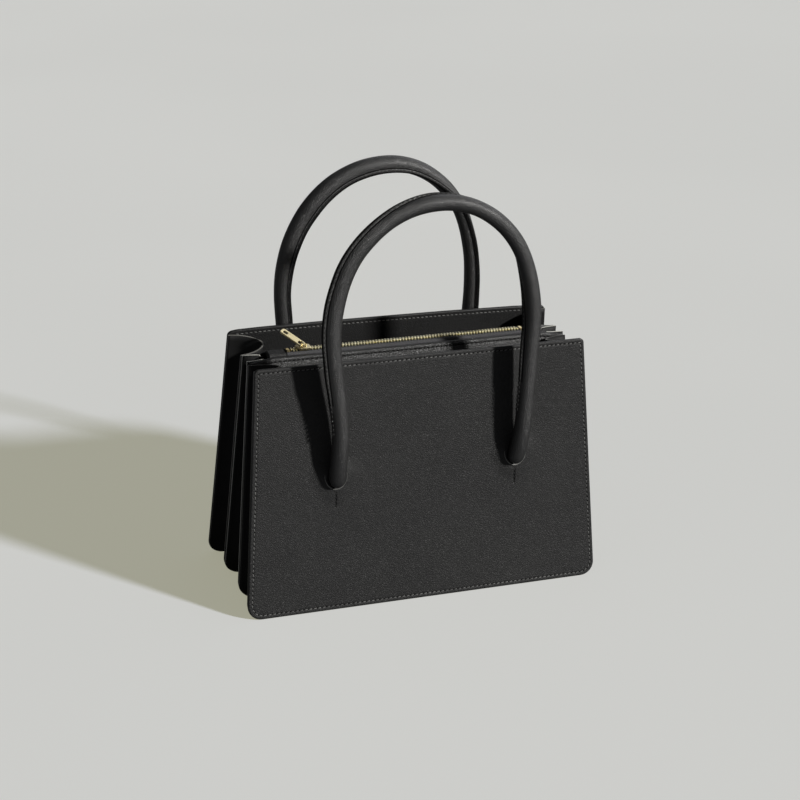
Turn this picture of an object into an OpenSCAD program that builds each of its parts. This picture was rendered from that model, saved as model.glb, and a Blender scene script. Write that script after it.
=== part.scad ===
// Structured top handle bag: four stiff splayed panels joined by three folded gussets,
// a zipped middle compartment between two open ones, and two rolled leather handles.
// Millimetres. +X runs along the width, +Y from front to back, +Z up, floor at zero.

/* [Outer panels] */
// Width of each outer panel along its top edge
panel_top_w = 250; // [200:1:320]
// Width of each outer panel along the floor
panel_bottom_w = 272; // [210:1:340]
// Height of the outer panels above the floor
panel_h = 184; // [150:1:240]
// Distance between the two outer faces at the top edge
top_depth = 76; // [66:1:110]
// Distance between the two outer faces at the floor
bottom_depth = 119; // [100:1:160]
// Radius of the lower corners of every panel
bottom_corner_r = 11; // [5:0.5:18]
// Radius of the top corners of every panel
top_corner_r = 3; // [1:0.5:6]

/* [Partitions] */
// How far the partitions end below the outer panels
partition_drop = 3.5; // [1:0.5:10]
// How much narrower a partition is than an outer panel, on each side
partition_inset = 3; // [1:0.5:8]
// Distance over both partitions at their top edge
partition_top_depth = 19.5; // [16:0.5:30]
// Distance over both partitions at the floor
partition_bottom_depth = 45; // [36:1:60]

/* [Leather and board] */
// Thickness of the leather on the show side of a panel
leather_t = 1.2; // [1:0.1:1.6]
// Thickness of the stiffener board inside a panel
board_t = 0.8; // [0.6:0.1:1.4]
// Thickness of the leather lining of a panel
lining_t = 0.9; // [0.6:0.1:1.4]
// Thickness of the gusset leather
gusset_t = 1.1; // [0.8:0.1:1.5]

/* [Gussets] */
// Distance from a panel's side edge in to the fold of a gusset
side_fold = 24; // [16:0.5:30]
// Height of the fold that runs under the bag
bottom_fold = 21; // [14:0.5:26]
// How far the outer gussets end below the outer panels
gusset_drop = 2; // [1:0.5:8]

/* [Handles] */
// Distance between the two feet of a handle
foot_spacing = 136; // [110:1:160]
// Height of the feet above the floor
foot_z = 102; // [80:1:120]
// How far the centre of a foot stands out from the panel's face
foot_proud = 4.8; // [4.4:0.1:6]
// Diameter of the rolled handle
handle_d = 12.6; // [11:0.2:14]
// Thickness of the leather rolled around the handle's core
cover_t = 1.3; // [1:0.1:1.8]
// Length of the straight part of a handle's leg
leg_l = 61.5; // [40:0.5:90]
// Angle by which the legs spread on their way up
leg_splay = 4.5; // [0:0.5:8]
// Radius of the bend by which a leg comes out of its foot
foot_bend_r = 105; // [80:1:140]
// Angle of the bend by which a leg comes out of its foot
foot_turn = 19; // [10:0.5:24]
// Radius of the side bends of the handle
side_bend_r = 128; // [100:1:150]
// Angle from level at which a side bend meets the top bend
side_bend_end = 20; // [15:1:35]
// Angle by which the front handle leans in towards the bag
front_lean = 2.5; // [0:0.5:4]
// Angle by which the rear handle leans in towards the bag
rear_lean = 0; // [0:0.5:4]
// Running gap around a handle's foot
foot_gap = 0.3; // [0.2:0.05:0.5]
// How far a handle can be pushed in towards the bag
swing_in = 2; // [0:0.5:3]

/* [Raised leather at the handle feet] */
// Radius of the raised leather around a foot
boss_r = 16; // [12:0.5:20]
// Height of the raised leather at its middle
boss_h = 4.2; // [3:0.1:4.6]
// How far the middle of the raised leather lies below the foot
boss_below = 4; // [0:0.5:8]

/* [Zip] */
// Distance from a partition's top corner in to the end of the chain
chain_inset = 33; // [26:1:50]
// Distance from one tooth to the next on the same tape
tooth_pitch = 2.31; // [2:0.01:2.8]
// Thickness of a tooth along the chain
tooth_t = 1; // [0.8:0.05:1.1]
// Height of a tooth
tooth_h = 2.6; // [2.2:0.1:3]
// Length of a tooth from its root to the middle of the chain
tooth_reach = 3; // [2.6:0.1:3.2]
// How far a tooth's head crosses the middle of the chain
head_cross = 0.7; // [0.4:0.05:0.9]
// Thickness of the woven tape
tape_t = 0.6; // [0.4:0.05:0.7]
// Height of the part of the tape that is sewn to a partition
tape_sewn_h = 9; // [6:0.5:12]
// Height of the middle of the chain above the partitions' top edge
chain_rise = 1.1; // [0.5:0.1:3]
// Length of the leather tabs that close the zip's ends
end_tab_l = 13; // [8:0.5:18]
// Thickness of the leather tabs that close the zip's ends
end_tab_t = 2.4; // [1.8:0.1:3]

/* [Slider and pull] */
// Distance from the closed end to where the slider waits
slider_start = 4.5; // [0:0.5:20]
// Length of the slider
slider_l = 11; // [9:0.5:14]
// Width of the slider at its nose
slider_w = 8.4; // [8:0.1:9.2]
// Thickness of the slider's two plates
slider_plate_t = 0.9; // [0.7:0.1:1.2]
// Gap between the slider and the teeth
slider_gap = 0.35; // [0.3:0.05:0.5]
// Length of the bridge that holds the pull
bridge_l = 4.8; // [4.6:0.1:6]
// Width of the bridge that holds the pull
bridge_w = 1.6; // [1.4:0.1:1.8]
// Thickness of the bridge's posts and top
bridge_t = 0.8; // [0.6:0.05:0.9]
// Length of the pull from its pin to its free end
pull_l = 19; // [14:0.5:26]
// Width of the pull
pull_w = 7.4; // [7:0.1:9]
// Thickness of the pull
pull_t = 1.2; // [1:0.1:1.4]
// Diameter of the pull's pin
pull_pin_d = 1; // [0.8:0.05:1.1]
// Angle of the pull above level
pull_raise = 27; // [25:1:40]
// Angle by which the pull is turned towards the back
pull_turn = 40; // [0:1:40]

/* [Hidden] */
$fn = 96;

leather_black = [0.09, 0.09, 0.09];
lining_black = [0.12, 0.12, 0.12];
board_grey = [0.45, 0.43, 0.40];
gusset_black = [0.07, 0.07, 0.07];
core_white = [0.80, 0.78, 0.72];
tape_grey = [0.20, 0.20, 0.22];
brass_gold = [0.85, 0.70, 0.38];

// Overrun of every cut beyond what it cuts
over = 1;
// Gap between soft pieces that lie against each other
soft_gap = 0.1;
// Faces along the arc of a rounded panel corner
corner_steps = 8;

shell_t = leather_t + board_t + lining_t;
partition_h = panel_h - partition_drop;
panel_lean = atan((bottom_depth - top_depth) / 2 / panel_h);
partition_lean = atan((partition_bottom_depth - partition_top_depth) / 2 / partition_h);

// Points of the arc that rounds corner b between the edges from a and to c
function turn_arc(a, b, c, r, steps) =
    let(
        u = (a - b) / norm(a - b),
        w = (c - b) / norm(c - b),
        half = acos(u * w) / 2,
        middle = b + (u + w) / norm(u + w) * r / sin(half),
        from = b + u * r / tan(half) - middle,
        to = b + w * r / tan(half) - middle,
        first = atan2(from[1], from[0]),
        swing = atan2(to[1], to[0]) - first,
        turn = swing > 180 ? swing - 360 : (swing < -180 ? swing + 360 : swing)
    )
    [for (i = [0:steps]) middle + r * [cos(first + turn * i / steps), sin(first + turn * i / steps)]];

// Outline of a panel in its own plane, x across and y up the slope
function panel_outline(top_w, bottom_w, slope) =
    let(
        tl = [-top_w / 2, slope],
        tr = [top_w / 2, slope],
        bl = [-bottom_w / 2, -over],
        br = [bottom_w / 2, -over]
    )
    concat(
        turn_arc(tl, bl, br, bottom_corner_r, corner_steps),
        turn_arc(bl, br, tr, bottom_corner_r, corner_steps),
        turn_arc(br, tr, tl, top_corner_r, corner_steps),
        turn_arc(tr, tl, bl, top_corner_r, corner_steps)
    );

// A layer of a leaning panel: its show face lies depth under the panel's own face
module layer(top_w, bottom_w, slope, depth, thickness) {
    translate([0, 0, -depth - thickness])
        linear_extrude(thickness)
            polygon(panel_outline(top_w, bottom_w, slope));
}

// Stands a panel drawn in its own plane on the floor, with its face towards the front
module stand(depth, lean) {
    translate([0, -depth / 2, 0])
        rotate([90 - lean, 0, 0])
            children();
}

// Cuts what reaches below the floor, so that the panels rest on flat edges
module above_floor() {
    difference() {
        children();
        translate([-panel_bottom_w, -bottom_depth, -bottom_depth])
            cube([2 * panel_bottom_w, 2 * bottom_depth, bottom_depth]);
    }
}

module outer_layer(depth, thickness) {
    layer(panel_top_w, panel_bottom_w, panel_h / cos(panel_lean), depth, thickness);
}

module partition_layer(depth, thickness) {
    above_floor()
        stand(partition_bottom_depth, partition_lean)
            layer(
                panel_top_w - 2 * partition_inset,
                panel_bottom_w - 2 * partition_inset,
                partition_h / cos(partition_lean),
                depth, thickness
            );
}

// The handle's path: a foot bend that leaves the panel, legs that spread, two side bends and one top bend
foot_rise = foot_bend_r * (1 - cos(foot_turn));
leg_reach = leg_l + foot_bend_r * sin(foot_turn);
leg_top = [foot_spacing / 2 + leg_reach * sin(leg_splay), leg_reach * cos(leg_splay)];
side_middle = leg_top + side_bend_r * [-cos(leg_splay), sin(leg_splay)];
side_end = side_middle + side_bend_r * [cos(side_bend_end), sin(side_bend_end)];
top_bend_r = side_end[0] / cos(side_bend_end);
top_middle = [0, side_end[1] - top_bend_r * sin(side_bend_end)];

foot_r = handle_d / 2;
// How much thinner the top bend is than the side bends, whose ends it sits in
bend_step = 0.02;
// How much thicker a round foot is than the leg that ends in it
foot_step = 0.02;
// Angle at which the room for a leg leaves the handle's plane: the foot bend's chord over the raised leather
room_turn = foot_turn - boss_r / foot_bend_r * 90 / PI;
// Angle over which the top bend sits in a side bend
bend_lap = 0.3;
foot_y = -bottom_depth / 2 + foot_z * tan(panel_lean) - foot_proud / cos(panel_lean);

module foot_end(r) {
    difference() {
        sphere(r);
        translate([-r - over, 0, -r - over])
            cube(2 * (r + over));
    }
}

// A bend of the handle from level, about the origin
module bend(bend_r, swing, r) {
    rotate_extrude(angle = swing)
        translate([bend_r, 0])
            circle(r);
}

// A leg with its side bend, foot bend and round foot: the right one with side 0, the left one with side 1
module leg(r, side) {
    facing = 1 - 2 * side;
    rotate([0, 180 * side, 0])
        translate([side_middle[0], side_middle[1], facing * foot_rise])
            rotate([0, 0, -leg_splay]) {
                bend(side_bend_r, side_bend_end + leg_splay, r);
                translate([side_bend_r, 0, 0])
                    rotate([90, 0, 0])
                        cylinder(h = leg_l, r = r);
                translate([side_bend_r, -leg_l, -facing * foot_bend_r])
                    rotate([0, -90 * facing, 180]) {
                        bend(foot_bend_r, foot_turn, r);
                        rotate([0, 0, foot_turn])
                            translate([foot_bend_r, 0, 0])
                                sphere(r + foot_step);
                    }
            }
}

// A rolled handle of radius r in its own plane, with round feet
module handle_roll(r) {
    leg(r, 0);
    leg(r, 1);
    translate([top_middle[0], top_middle[1], foot_rise])
        rotate([0, 0, side_bend_end - bend_lap])
            bend(top_bend_r, 180 + 2 * (bend_lap - side_bend_end), r - bend_step);
}

module at_feet(lean) {
    translate([0, foot_y, foot_z])
        rotate([90 - lean, 0, 0])
            children();
}

module handle_cover(lean) {
    at_feet(lean)
        difference() {
            handle_roll(foot_r);
            handle_roll(foot_r - cover_t);
        }
}

module handle_core(lean) {
    at_feet(lean)
        handle_roll(foot_r - cover_t - soft_gap);
}

// Room for the two legs of a handle at its inner stop: further out it takes up less of it
module leg_room(lean) {
    room_r = foot_r + foot_gap;
    at_feet(lean + swing_in)
        for (side = [0, 1])
            rotate([0, 180 * side, 0])
                translate([foot_spacing / 2, 0, 0])
                    rotate([0, 0, -leg_splay])
                        rotate([(1 - 2 * side) * room_turn, 0, 0]) {
                            rotate([-90, 0, 0])
                                cylinder(h = leg_l, r = room_r);
                            foot_end(room_r);
                        }
}

// Raised leather around one foot, in the panel's own plane
module foot_boss() {
    cap_r = (boss_r * boss_r + boss_h * boss_h) / (2 * boss_h);
    difference() {
        translate([0, -boss_below, boss_h - cap_r])
            sphere(cap_r);
        translate([-cap_r - over, -boss_below - cap_r - over, -2 * cap_r - leather_t / 2])
            cube([2 * (cap_r + over), 2 * (cap_r + over), 2 * cap_r]);
    }
}

module panel_leather(lean) {
    difference() {
        above_floor()
            stand(bottom_depth, panel_lean) {
                outer_layer(0, leather_t);
                for (side = [-1, 1])
                    translate([side * foot_spacing / 2, foot_z / cos(panel_lean), 0])
                        foot_boss();
            }
        leg_room(lean);
    }
}

module panel_board(lean) {
    difference() {
        above_floor()
            stand(bottom_depth, panel_lean)
                outer_layer(leather_t, board_t);
        leg_room(lean);
    }
}

module panel_lining() {
    above_floor()
        stand(bottom_depth, panel_lean)
            outer_layer(leather_t + board_t, lining_t);
}

module to_back() {
    rotate([0, 0, 180])
        children();
}

// Shares of a straight edge at which a gusset has a section
edge_shares = [0, 0.3, 0.6, 0.85];
// Shares of the bottom edge at which a gusset has a section
floor_shares = [0.25, 0.5, 0.75];
// Power of the fold's curve: 1 is a sharp V, 2 is an ellipse
fold_power = 1.75;
// Steps along the curve of a fold
fold_steps = 8;

// The path of a gusset's edge down one side, along the floor and up the other
function edge_path(top_w, bottom_w, top) =
    let(
        tl = [-top_w / 2, top],
        tr = [top_w / 2, top],
        bl = [-bottom_w / 2, soft_gap],
        br = [bottom_w / 2, soft_gap],
        left = turn_arc(tl, bl, br, bottom_corner_r, corner_steps / 2),
        right = turn_arc(bl, br, tr, bottom_corner_r, corner_steps / 2),
        a = left[len(left) - 1],
        b = right[0],
        last = right[len(right) - 1]
    )
    concat(
        [for (s = edge_shares) tl + (left[0] - tl) * s],
        left,
        [for (s = floor_shares) a + (b - a) * s],
        right,
        [for (i = [len(edge_shares) - 1:-1:0]) last + (tr - last) * (1 - edge_shares[i])]
    );

// A leaning face as [y at the floor, how much y changes for each unit of height]
function face_y(face, z) = face[0] + face[1] * z;

// Half width, at height z, of the fold's path
function fold_half_w(top_w, bottom_w, h, z) = (bottom_w + (top_w - bottom_w) * z / h) / 2 - side_fold;

function fold_curve(ea, eb, tip, steps) =
    let(m = (ea + eb) / 2)
    [for (i = [0:steps])
        let(
            c = cos(180 * i / steps),
            s = abs(sin(180 * i / steps)),
            cc = sign(c) * pow(abs(c), 2 / fold_power),
            ss = pow(s, 2 / fold_power)
        )
        m + (ea - m) * cc + (tip - m) * ss
    ];

// One section of a gusset: the curve that faces the inside, then the one that faces out
function fold_section(pa, pb, fa, fb, h, top_w, bottom_w) =
    let(
        ya = face_y(fa, pa[1]),
        yb = face_y(fb, pb[1]),
        ea = [pa[0], ya, pa[1]],
        eb = [pb[0], yb, pb[1]],
        z = max((pa[1] + pb[1]) / 2, bottom_fold),
        half = fold_half_w(top_w, bottom_w, h, z),
        x = (pa[0] + pb[0]) / 2,
        y = (face_y(fa, z) + face_y(fb, z)) / 2,
        tip = [max(-half, min(half, x)), y, z],
        m = (ea + eb) / 2,
        thin = gusset_t / abs(ya - yb) * 2,
        inward = (tip - m) / norm(tip - m)
    )
    concat(
        fold_curve(ea, eb, tip, fold_steps),
        fold_curve(
            ea + (m - ea) * thin, eb + (m - eb) * thin,
            tip - inward * gusset_t, fold_steps
        )
    );

// A folded gusset between face fa and face fb, each given as in face_y
module gusset(fa, fb, wa, wb, top_a, top_b) {
    path_a = edge_path(wa[0], wa[1], top_a);
    path_b = edge_path(wb[0], wb[1], top_b);
    n = fold_steps + 1;
    rings = len(path_a);
    ring = 2 * n;
    points = [
        for (i = [0:rings - 1])
            each fold_section(path_a[i], path_b[i], fa, fb, panel_h, panel_top_w, panel_bottom_w)
    ];
    walls = [
        for (i = [0:rings - 2], j = [0:n - 2])
            let(a = i * ring + j, b = a + ring)
            each [[a, b, a + 1], [a + 1, b, b + 1],
                  [a + n, a + n + 1, b + n], [a + n + 1, b + n + 1, b + n]]
    ];
    rims = [
        for (i = [0:rings - 2])
            let(a = i * ring, b = a + ring, c = a + n - 1, d = b + n - 1)
            each [[a, a + n, b], [a + n, b + n, b], [c, d, c + n], [c + n, d, d + n]]
    ];
    caps = [
        for (j = [0:n - 2])
            let(a = j, b = (rings - 1) * ring + j)
            each [[a, a + 1, a + n], [a + 1, a + n + 1, a + n],
                  [b, b + n, b + 1], [b + 1, b + n, b + n + 1]]
    ];
    polyhedron(points, concat(walls, rims, caps));
}

// The inner face of the rear panel and both faces of the rear partition
rear_inner_face = [
    bottom_depth / 2 - shell_t / cos(panel_lean) - soft_gap,
    -tan(panel_lean)
];
partition_outer_face = [partition_bottom_depth / 2 + soft_gap, -tan(partition_lean)];
partition_inner_face = [
    partition_bottom_depth / 2 - shell_t / cos(partition_lean) - soft_gap,
    -tan(partition_lean)
];
outer_gusset_w = [panel_top_w - soft_gap, panel_bottom_w - soft_gap];
inner_gusset_w = [
    panel_top_w - 2 * partition_inset - soft_gap,
    panel_bottom_w - 2 * partition_inset - soft_gap
];
outer_gusset_top = panel_h - gusset_drop;
partition_gusset_top = partition_h - gusset_drop / 2;

module outer_gusset() {
    gusset(
        rear_inner_face, partition_outer_face, outer_gusset_w, inner_gusset_w,
        outer_gusset_top, partition_gusset_top
    );
}

// The zip lies in the mouth of the middle compartment
chain_z = partition_h + chain_rise;
mouth_half = face_y(partition_inner_face, partition_h);
chain_l = panel_top_w - 2 * partition_inset - 2 * chain_inset;
chain_end = chain_l / 2;
stop_l = 2 * tooth_t;
tape_end = chain_end + stop_l + tooth_t;
tape_flat = slider_w / 2 + slider_gap;
tape_root = tooth_reach / 2;
tape_edge_z = partition_h - tape_t - soft_gap;
middle_gusset_top = tape_edge_z - end_tab_t;

// Half of the tape's section, from the chain to the lower edge of the sewn part
module tape_section() {
    lean_y = tape_sewn_h * tan(partition_lean);
    polygon([
        [tape_root, chain_z - tape_t / 2],
        [tape_flat, chain_z - tape_t / 2],
        [mouth_half - tape_t, tape_edge_z - tape_t],
        [mouth_half - tape_t + lean_y, tape_edge_z - tape_sewn_h],
        [mouth_half + lean_y, tape_edge_z - tape_sewn_h],
        [mouth_half, tape_edge_z],
        [tape_flat, chain_z + tape_t / 2],
        [tape_root, chain_z + tape_t / 2]
    ]);
}

// Extrudes a section drawn in y and z along the width, about the middle
module along_width(length) {
    translate([-length / 2, 0, 0])
        rotate([90, 0, 90])
            linear_extrude(length)
                children();
}

module zip_tape() {
    along_width(2 * tape_end)
        tape_section();
}

// Share of a tooth's height that its head keeps where it crosses the middle
tooth_head_share = 0.5;
// Share of the head's crossing over which it grows to full height
tooth_slope_share = 0.35;

// One tooth: a head whose tip lies at y tip, and two legs that grip the tape
module tooth_section(tip) {
    grip = tape_t / 2 + soft_gap / 2;
    tall = tooth_h / 2;
    head = tall * tooth_head_share;
    full = tip + head_cross * (1 - tooth_slope_share);
    polygon([
        [tip, -head],
        [tip, head],
        [full, tall],
        [tooth_reach - head_cross, tall],
        [tooth_reach, tall - head_cross / 2],
        [tooth_reach, grip],
        [tape_root - soft_gap, grip],
        [tape_root - soft_gap, -grip],
        [tooth_reach, -grip],
        [tooth_reach, head_cross / 2 - tall],
        [tooth_reach - head_cross, -tall],
        [full, -tall]
    ]);
}

tooth_count = floor((chain_l - tooth_pitch) / tooth_pitch);

// Shares of the pitch by which the rear and the front row are moved along
row_shares = [0.25, 0.75];

// A row of teeth on the rear tape
module tooth_row(shift) {
    for (i = [0:tooth_count - 1])
        translate([(i - tooth_count / 2 + shift) * tooth_pitch, 0, chain_z])
            along_width(tooth_t)
                tooth_section(-head_cross);
}

module stop_block(tip) {
    translate([0, 0, chain_z])
        along_width(stop_l)
            tooth_section(tip);
}

module zip_end_tab() {
    span = mouth_half - soft_gap;
    translate([tape_end + soft_gap + end_tab_l / 2, 0, 0])
        along_width(end_tab_l)
            polygon([
                [-span, tape_edge_z - end_tab_t + soft_gap],
                [span, tape_edge_z - end_tab_t + soft_gap],
                [span, tape_edge_z],
                [tape_flat, chain_z + tape_t / 2],
                [-tape_flat, chain_z + tape_t / 2],
                [-span, tape_edge_z]
            ]);
}

// The slider waits near the left end, where the zip is closed
slider_x = -chain_end + slider_l / 2 + slider_gap + slider_start;
plate_low = tooth_h / 2 + slider_gap;
plate_high = plate_low + slider_plate_t;
flange_low = tape_t / 2 + slider_gap;
pin_r = pull_pin_d / 2;
pin_z = plate_high + pin_r + slider_gap;
bridge_high = pin_z + pin_r + slider_gap + bridge_t;

// Share of the nose's width that is left in front of its rounded corners
slider_nose_share = 0.72;
// Share of the slider's length over which it keeps its full width
slider_wide_share = 0.33;

// Outline of a slider plate from above: wide shoulders at the nose, narrow at the tail
module slider_outline() {
    nose = slider_w / 2;
    tail = tooth_reach + slider_gap + slider_plate_t;
    front = -slider_l / 2;
    wide = front + slider_l * slider_wide_share;
    polygon([
        [front, -nose * slider_nose_share],
        [front + slider_plate_t, -nose],
        [wide, -nose],
        [slider_l / 2, -tail],
        [slider_l / 2, tail],
        [wide, nose],
        [front + slider_plate_t, nose],
        [front, nose * slider_nose_share]
    ]);
}

// A plate with the two side flanges that guide the teeth
module slider_half() {
    guide = tooth_reach + slider_gap;
    difference() {
        translate([0, 0, flange_low])
            linear_extrude(plate_high - flange_low)
                slider_outline();
        translate([-slider_l, -guide, -over])
            cube([2 * slider_l, 2 * guide, plate_low + over]);
    }
}

module slider_bridge() {
    rise = bridge_high - plate_high;
    inner_l = bridge_l - 2 * bridge_t;
    translate([0, bridge_w / 2, plate_high])
        rotate([90, 0, 0])
            linear_extrude(bridge_w)
                difference() {
                    polygon([
                        [-bridge_l / 2, -slider_plate_t / 2],
                        [-bridge_l / 2, rise - bridge_t],
                        [-inner_l / 2, rise],
                        [inner_l / 2, rise],
                        [bridge_l / 2, rise - bridge_t],
                        [bridge_l / 2, -slider_plate_t / 2]
                    ]);
                    translate([-inner_l / 2, 0])
                        square([inner_l, rise - bridge_t]);
                }
}

module zip_slider() {
    translate([slider_x, 0, chain_z]) {
        slider_half();
        mirror([0, 0, 1])
            slider_half();
        slider_bridge();
    }
}

// Share of the pull's width that is the radius of its free corners
pull_corner_share = 0.25;
// Share of the pull's width that is the side of its square slot
pull_slot_share = 0.33;

// The pull: a pin under the bridge, two arms, and a plate with a slot near its free end
module pull_outline() {
    eye_w = bridge_l * sin(pull_turn) + bridge_w * cos(pull_turn) + 2 * slider_gap;
    eye_l = bridge_l - bridge_t;
    corner_r = pull_w * pull_corner_share;
    slot_w = pull_w * pull_slot_share;
    difference() {
        union() {
            translate([-pull_l + corner_r, -pull_w / 2])
                square([pull_l - corner_r, pull_w]);
            translate([-pull_l, corner_r - pull_w / 2])
                square([pull_l, pull_w - 2 * corner_r]);
            for (side = [-1, 1])
                translate([-pull_l + corner_r, side * (pull_w / 2 - corner_r)])
                    circle(corner_r);
        }
        translate([-eye_l, -eye_w / 2])
            square([eye_l + over, eye_w]);
        translate([-pull_l + corner_r, -slot_w / 2])
            square(slot_w);
    }
}

module zip_pull() {
    translate([slider_x, 0, chain_z + pin_z])
        rotate([0, 0, -pull_turn])
            rotate([0, pull_raise, 0]) {
                translate([0, 0, -pull_t / 2])
                    linear_extrude(pull_t)
                        pull_outline();
                rotate([90, 0, 0])
                    translate([0, 0, -pull_w / 2])
                        cylinder(h = pull_w, r = pin_r);
            }
}

module front_panel_leather() { color(leather_black) panel_leather(front_lean); }
module front_panel_board() { color(board_grey) panel_board(front_lean); }
module front_panel_lining() { color(lining_black) panel_lining(); }
module rear_panel_leather() { color(leather_black) to_back() panel_leather(rear_lean); }
module rear_panel_board() { color(board_grey) to_back() panel_board(rear_lean); }
module rear_panel_lining() { color(lining_black) to_back() panel_lining(); }

module front_partition_leather() { color(leather_black) partition_layer(0, leather_t); }
module front_partition_board() { color(board_grey) partition_layer(leather_t, board_t); }
module front_partition_lining() { color(lining_black) partition_layer(leather_t + board_t, lining_t); }
module rear_partition_leather() { color(leather_black) to_back() front_partition_leather(); }
module rear_partition_board() { color(board_grey) to_back() front_partition_board(); }
module rear_partition_lining() { color(lining_black) to_back() front_partition_lining(); }

module front_gusset() { color(gusset_black) to_back() outer_gusset(); }
module rear_gusset() { color(gusset_black) outer_gusset(); }
module middle_gusset() {
    color(gusset_black)
        gusset(
            partition_inner_face, -partition_inner_face, inner_gusset_w, inner_gusset_w,
            middle_gusset_top, middle_gusset_top
        );
}

module front_handle_cover() { color(leather_black) handle_cover(front_lean); }
module front_handle_core() { color(core_white) handle_core(front_lean); }
module rear_handle_cover() { color(leather_black) to_back() handle_cover(rear_lean); }
module rear_handle_core() { color(core_white) to_back() handle_core(rear_lean); }

module zip_tape_rear() { color(tape_grey) zip_tape(); }
module zip_tape_front() { color(tape_grey) mirror([0, 1, 0]) zip_tape(); }
module zip_teeth_rear() { color(brass_gold) tooth_row(row_shares[0]); }
module zip_teeth_front() { color(brass_gold) mirror([0, 1, 0]) tooth_row(row_shares[1]); }
module zip_top_stops() {
    color(brass_gold)
        for (side = [0, 1])
            mirror([0, side, 0])
                translate([-chain_end - stop_l / 2, 0, 0])
                    stop_block(soft_gap);
}
module zip_bottom_stop() {
    color(brass_gold)
        for (side = [0, 1])
            mirror([0, side, 0])
                translate([chain_end + stop_l / 2, 0, 0])
                    stop_block(-head_cross);
}
module zip_end_tab_right() { color(leather_black) zip_end_tab(); }
module zip_end_tab_left() { color(leather_black) mirror([1, 0, 0]) zip_end_tab(); }

front_panel_leather();
front_panel_board();
front_panel_lining();
rear_panel_leather();
rear_panel_board();
rear_panel_lining();
front_partition_leather();
front_partition_board();
front_partition_lining();
rear_partition_leather();
rear_partition_board();
rear_partition_lining();
front_gusset();
middle_gusset();
rear_gusset();
front_handle_cover();
front_handle_core();
rear_handle_cover();
rear_handle_core();
zip_tape_front();
zip_tape_rear();
zip_teeth_front();
zip_teeth_rear();
zip_top_stops();
zip_bottom_stop();
zip_end_tab_left();
zip_end_tab_right();
zip_slider();
zip_pull();
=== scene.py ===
"""Looks of a structured top handle bag: leather panels, folded gussets, rolled handles and a zip."""
import math

import bmesh
import bpy
import numpy as np
from mathutils import Matrix, Vector


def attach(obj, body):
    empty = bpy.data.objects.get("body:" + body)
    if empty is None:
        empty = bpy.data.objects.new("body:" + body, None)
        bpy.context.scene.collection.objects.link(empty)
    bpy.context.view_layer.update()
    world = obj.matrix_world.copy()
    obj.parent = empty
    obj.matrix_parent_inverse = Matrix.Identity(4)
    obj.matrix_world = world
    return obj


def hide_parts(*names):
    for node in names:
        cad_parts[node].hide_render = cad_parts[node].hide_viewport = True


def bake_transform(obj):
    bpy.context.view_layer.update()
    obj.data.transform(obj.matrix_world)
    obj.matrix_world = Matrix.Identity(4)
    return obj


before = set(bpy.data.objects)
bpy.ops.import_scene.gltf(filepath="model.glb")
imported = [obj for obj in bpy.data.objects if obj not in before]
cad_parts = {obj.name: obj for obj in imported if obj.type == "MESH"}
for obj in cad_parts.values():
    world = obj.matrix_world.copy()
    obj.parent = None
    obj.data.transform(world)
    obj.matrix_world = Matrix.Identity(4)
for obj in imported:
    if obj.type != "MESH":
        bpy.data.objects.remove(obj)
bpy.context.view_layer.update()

MM = 0.001

# Sizes of the bag in millimetres, as the frame has them
PANEL_TOP_W = 250.0
PANEL_BOTTOM_W = 272.0
PANEL_H = 184.0
TOP_DEPTH = 76.0
BOTTOM_DEPTH = 119.0
BOTTOM_CORNER_R = 11.0
TOP_CORNER_R = 3.0
PARTITION_DROP = 3.5
PARTITION_INSET = 3.0
PARTITION_TOP_DEPTH = 19.5
PARTITION_BOTTOM_DEPTH = 45.0
SHELL_T = 2.05
SANDWICH_T = 2.9
GUSSET_T = 1.1
SIDE_FOLD = 24.0
BOTTOM_FOLD = 21.0
GUSSET_DROP = 2.0
FOLD_POWER = 1.75
SOFT_GAP = 0.1
FOOT_HALF = 68.0
FOOT_Z = 102.0
FOOT_Y = -52.4142
FOOT_PROUD = 4.8
HANDLE_R = 6.3
TUBE_R = 6.0
LEG_L = 61.5
LEG_SPLAY = math.radians(4.5)
FOOT_BEND_R = 105.0
FOOT_TURN = math.radians(19)
FRONT_LEAN = math.radians(2.5)
REAR_LEAN = 0.0
SIDE_BEND_R = 128.0
SIDE_BEND_END = math.radians(20)
FOOT_LENGTH = 9.3
FOOT_SWELL = 1.05
CAP_LENGTH = 7.9
STITCH_PITCH = 3.4
STITCH_INSET = 3.0
TOOTH_PITCH = 2.31
TOOTH_COUNT = 76
TOOTH_T = 1.0
TOOTH_H = 2.6
TOOTH_REACH = 3.0
HEAD_CROSS = 0.7
TAPE_T = 0.6
SLIDER_L = 11.0
SLIDER_W = 8.4
SLIDER_GAP = 0.35
PLATE_T = 0.9
PULL_L = 19.0
PULL_W = 7.4
PULL_T = 1.2
PULL_RAISE = math.radians(27)
PULL_TURN = math.radians(40)
END_TAB_L = 13.0
END_TAB_T = 2.4

PARTITION_H = PANEL_H - PARTITION_DROP
PANEL_LEAN = math.atan((BOTTOM_DEPTH - TOP_DEPTH) / 2 / PANEL_H)
PARTITION_LEAN = math.atan((PARTITION_BOTTOM_DEPTH - PARTITION_TOP_DEPTH) / 2 / PARTITION_H)
CHAIN_Z = PARTITION_H + 1.1
CHAIN_HALF = 89.0
TAPE_HALF = CHAIN_HALF + 3.0
SLIDER_X = -CHAIN_HALF + SLIDER_L / 2 + SLIDER_GAP + 4.5
PIN_Z = CHAIN_Z + TOOTH_H / 2 + 2 * SLIDER_GAP + PLATE_T + 0.5
FOOT_S = FOOT_Z / math.cos(PANEL_LEAN)

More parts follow.
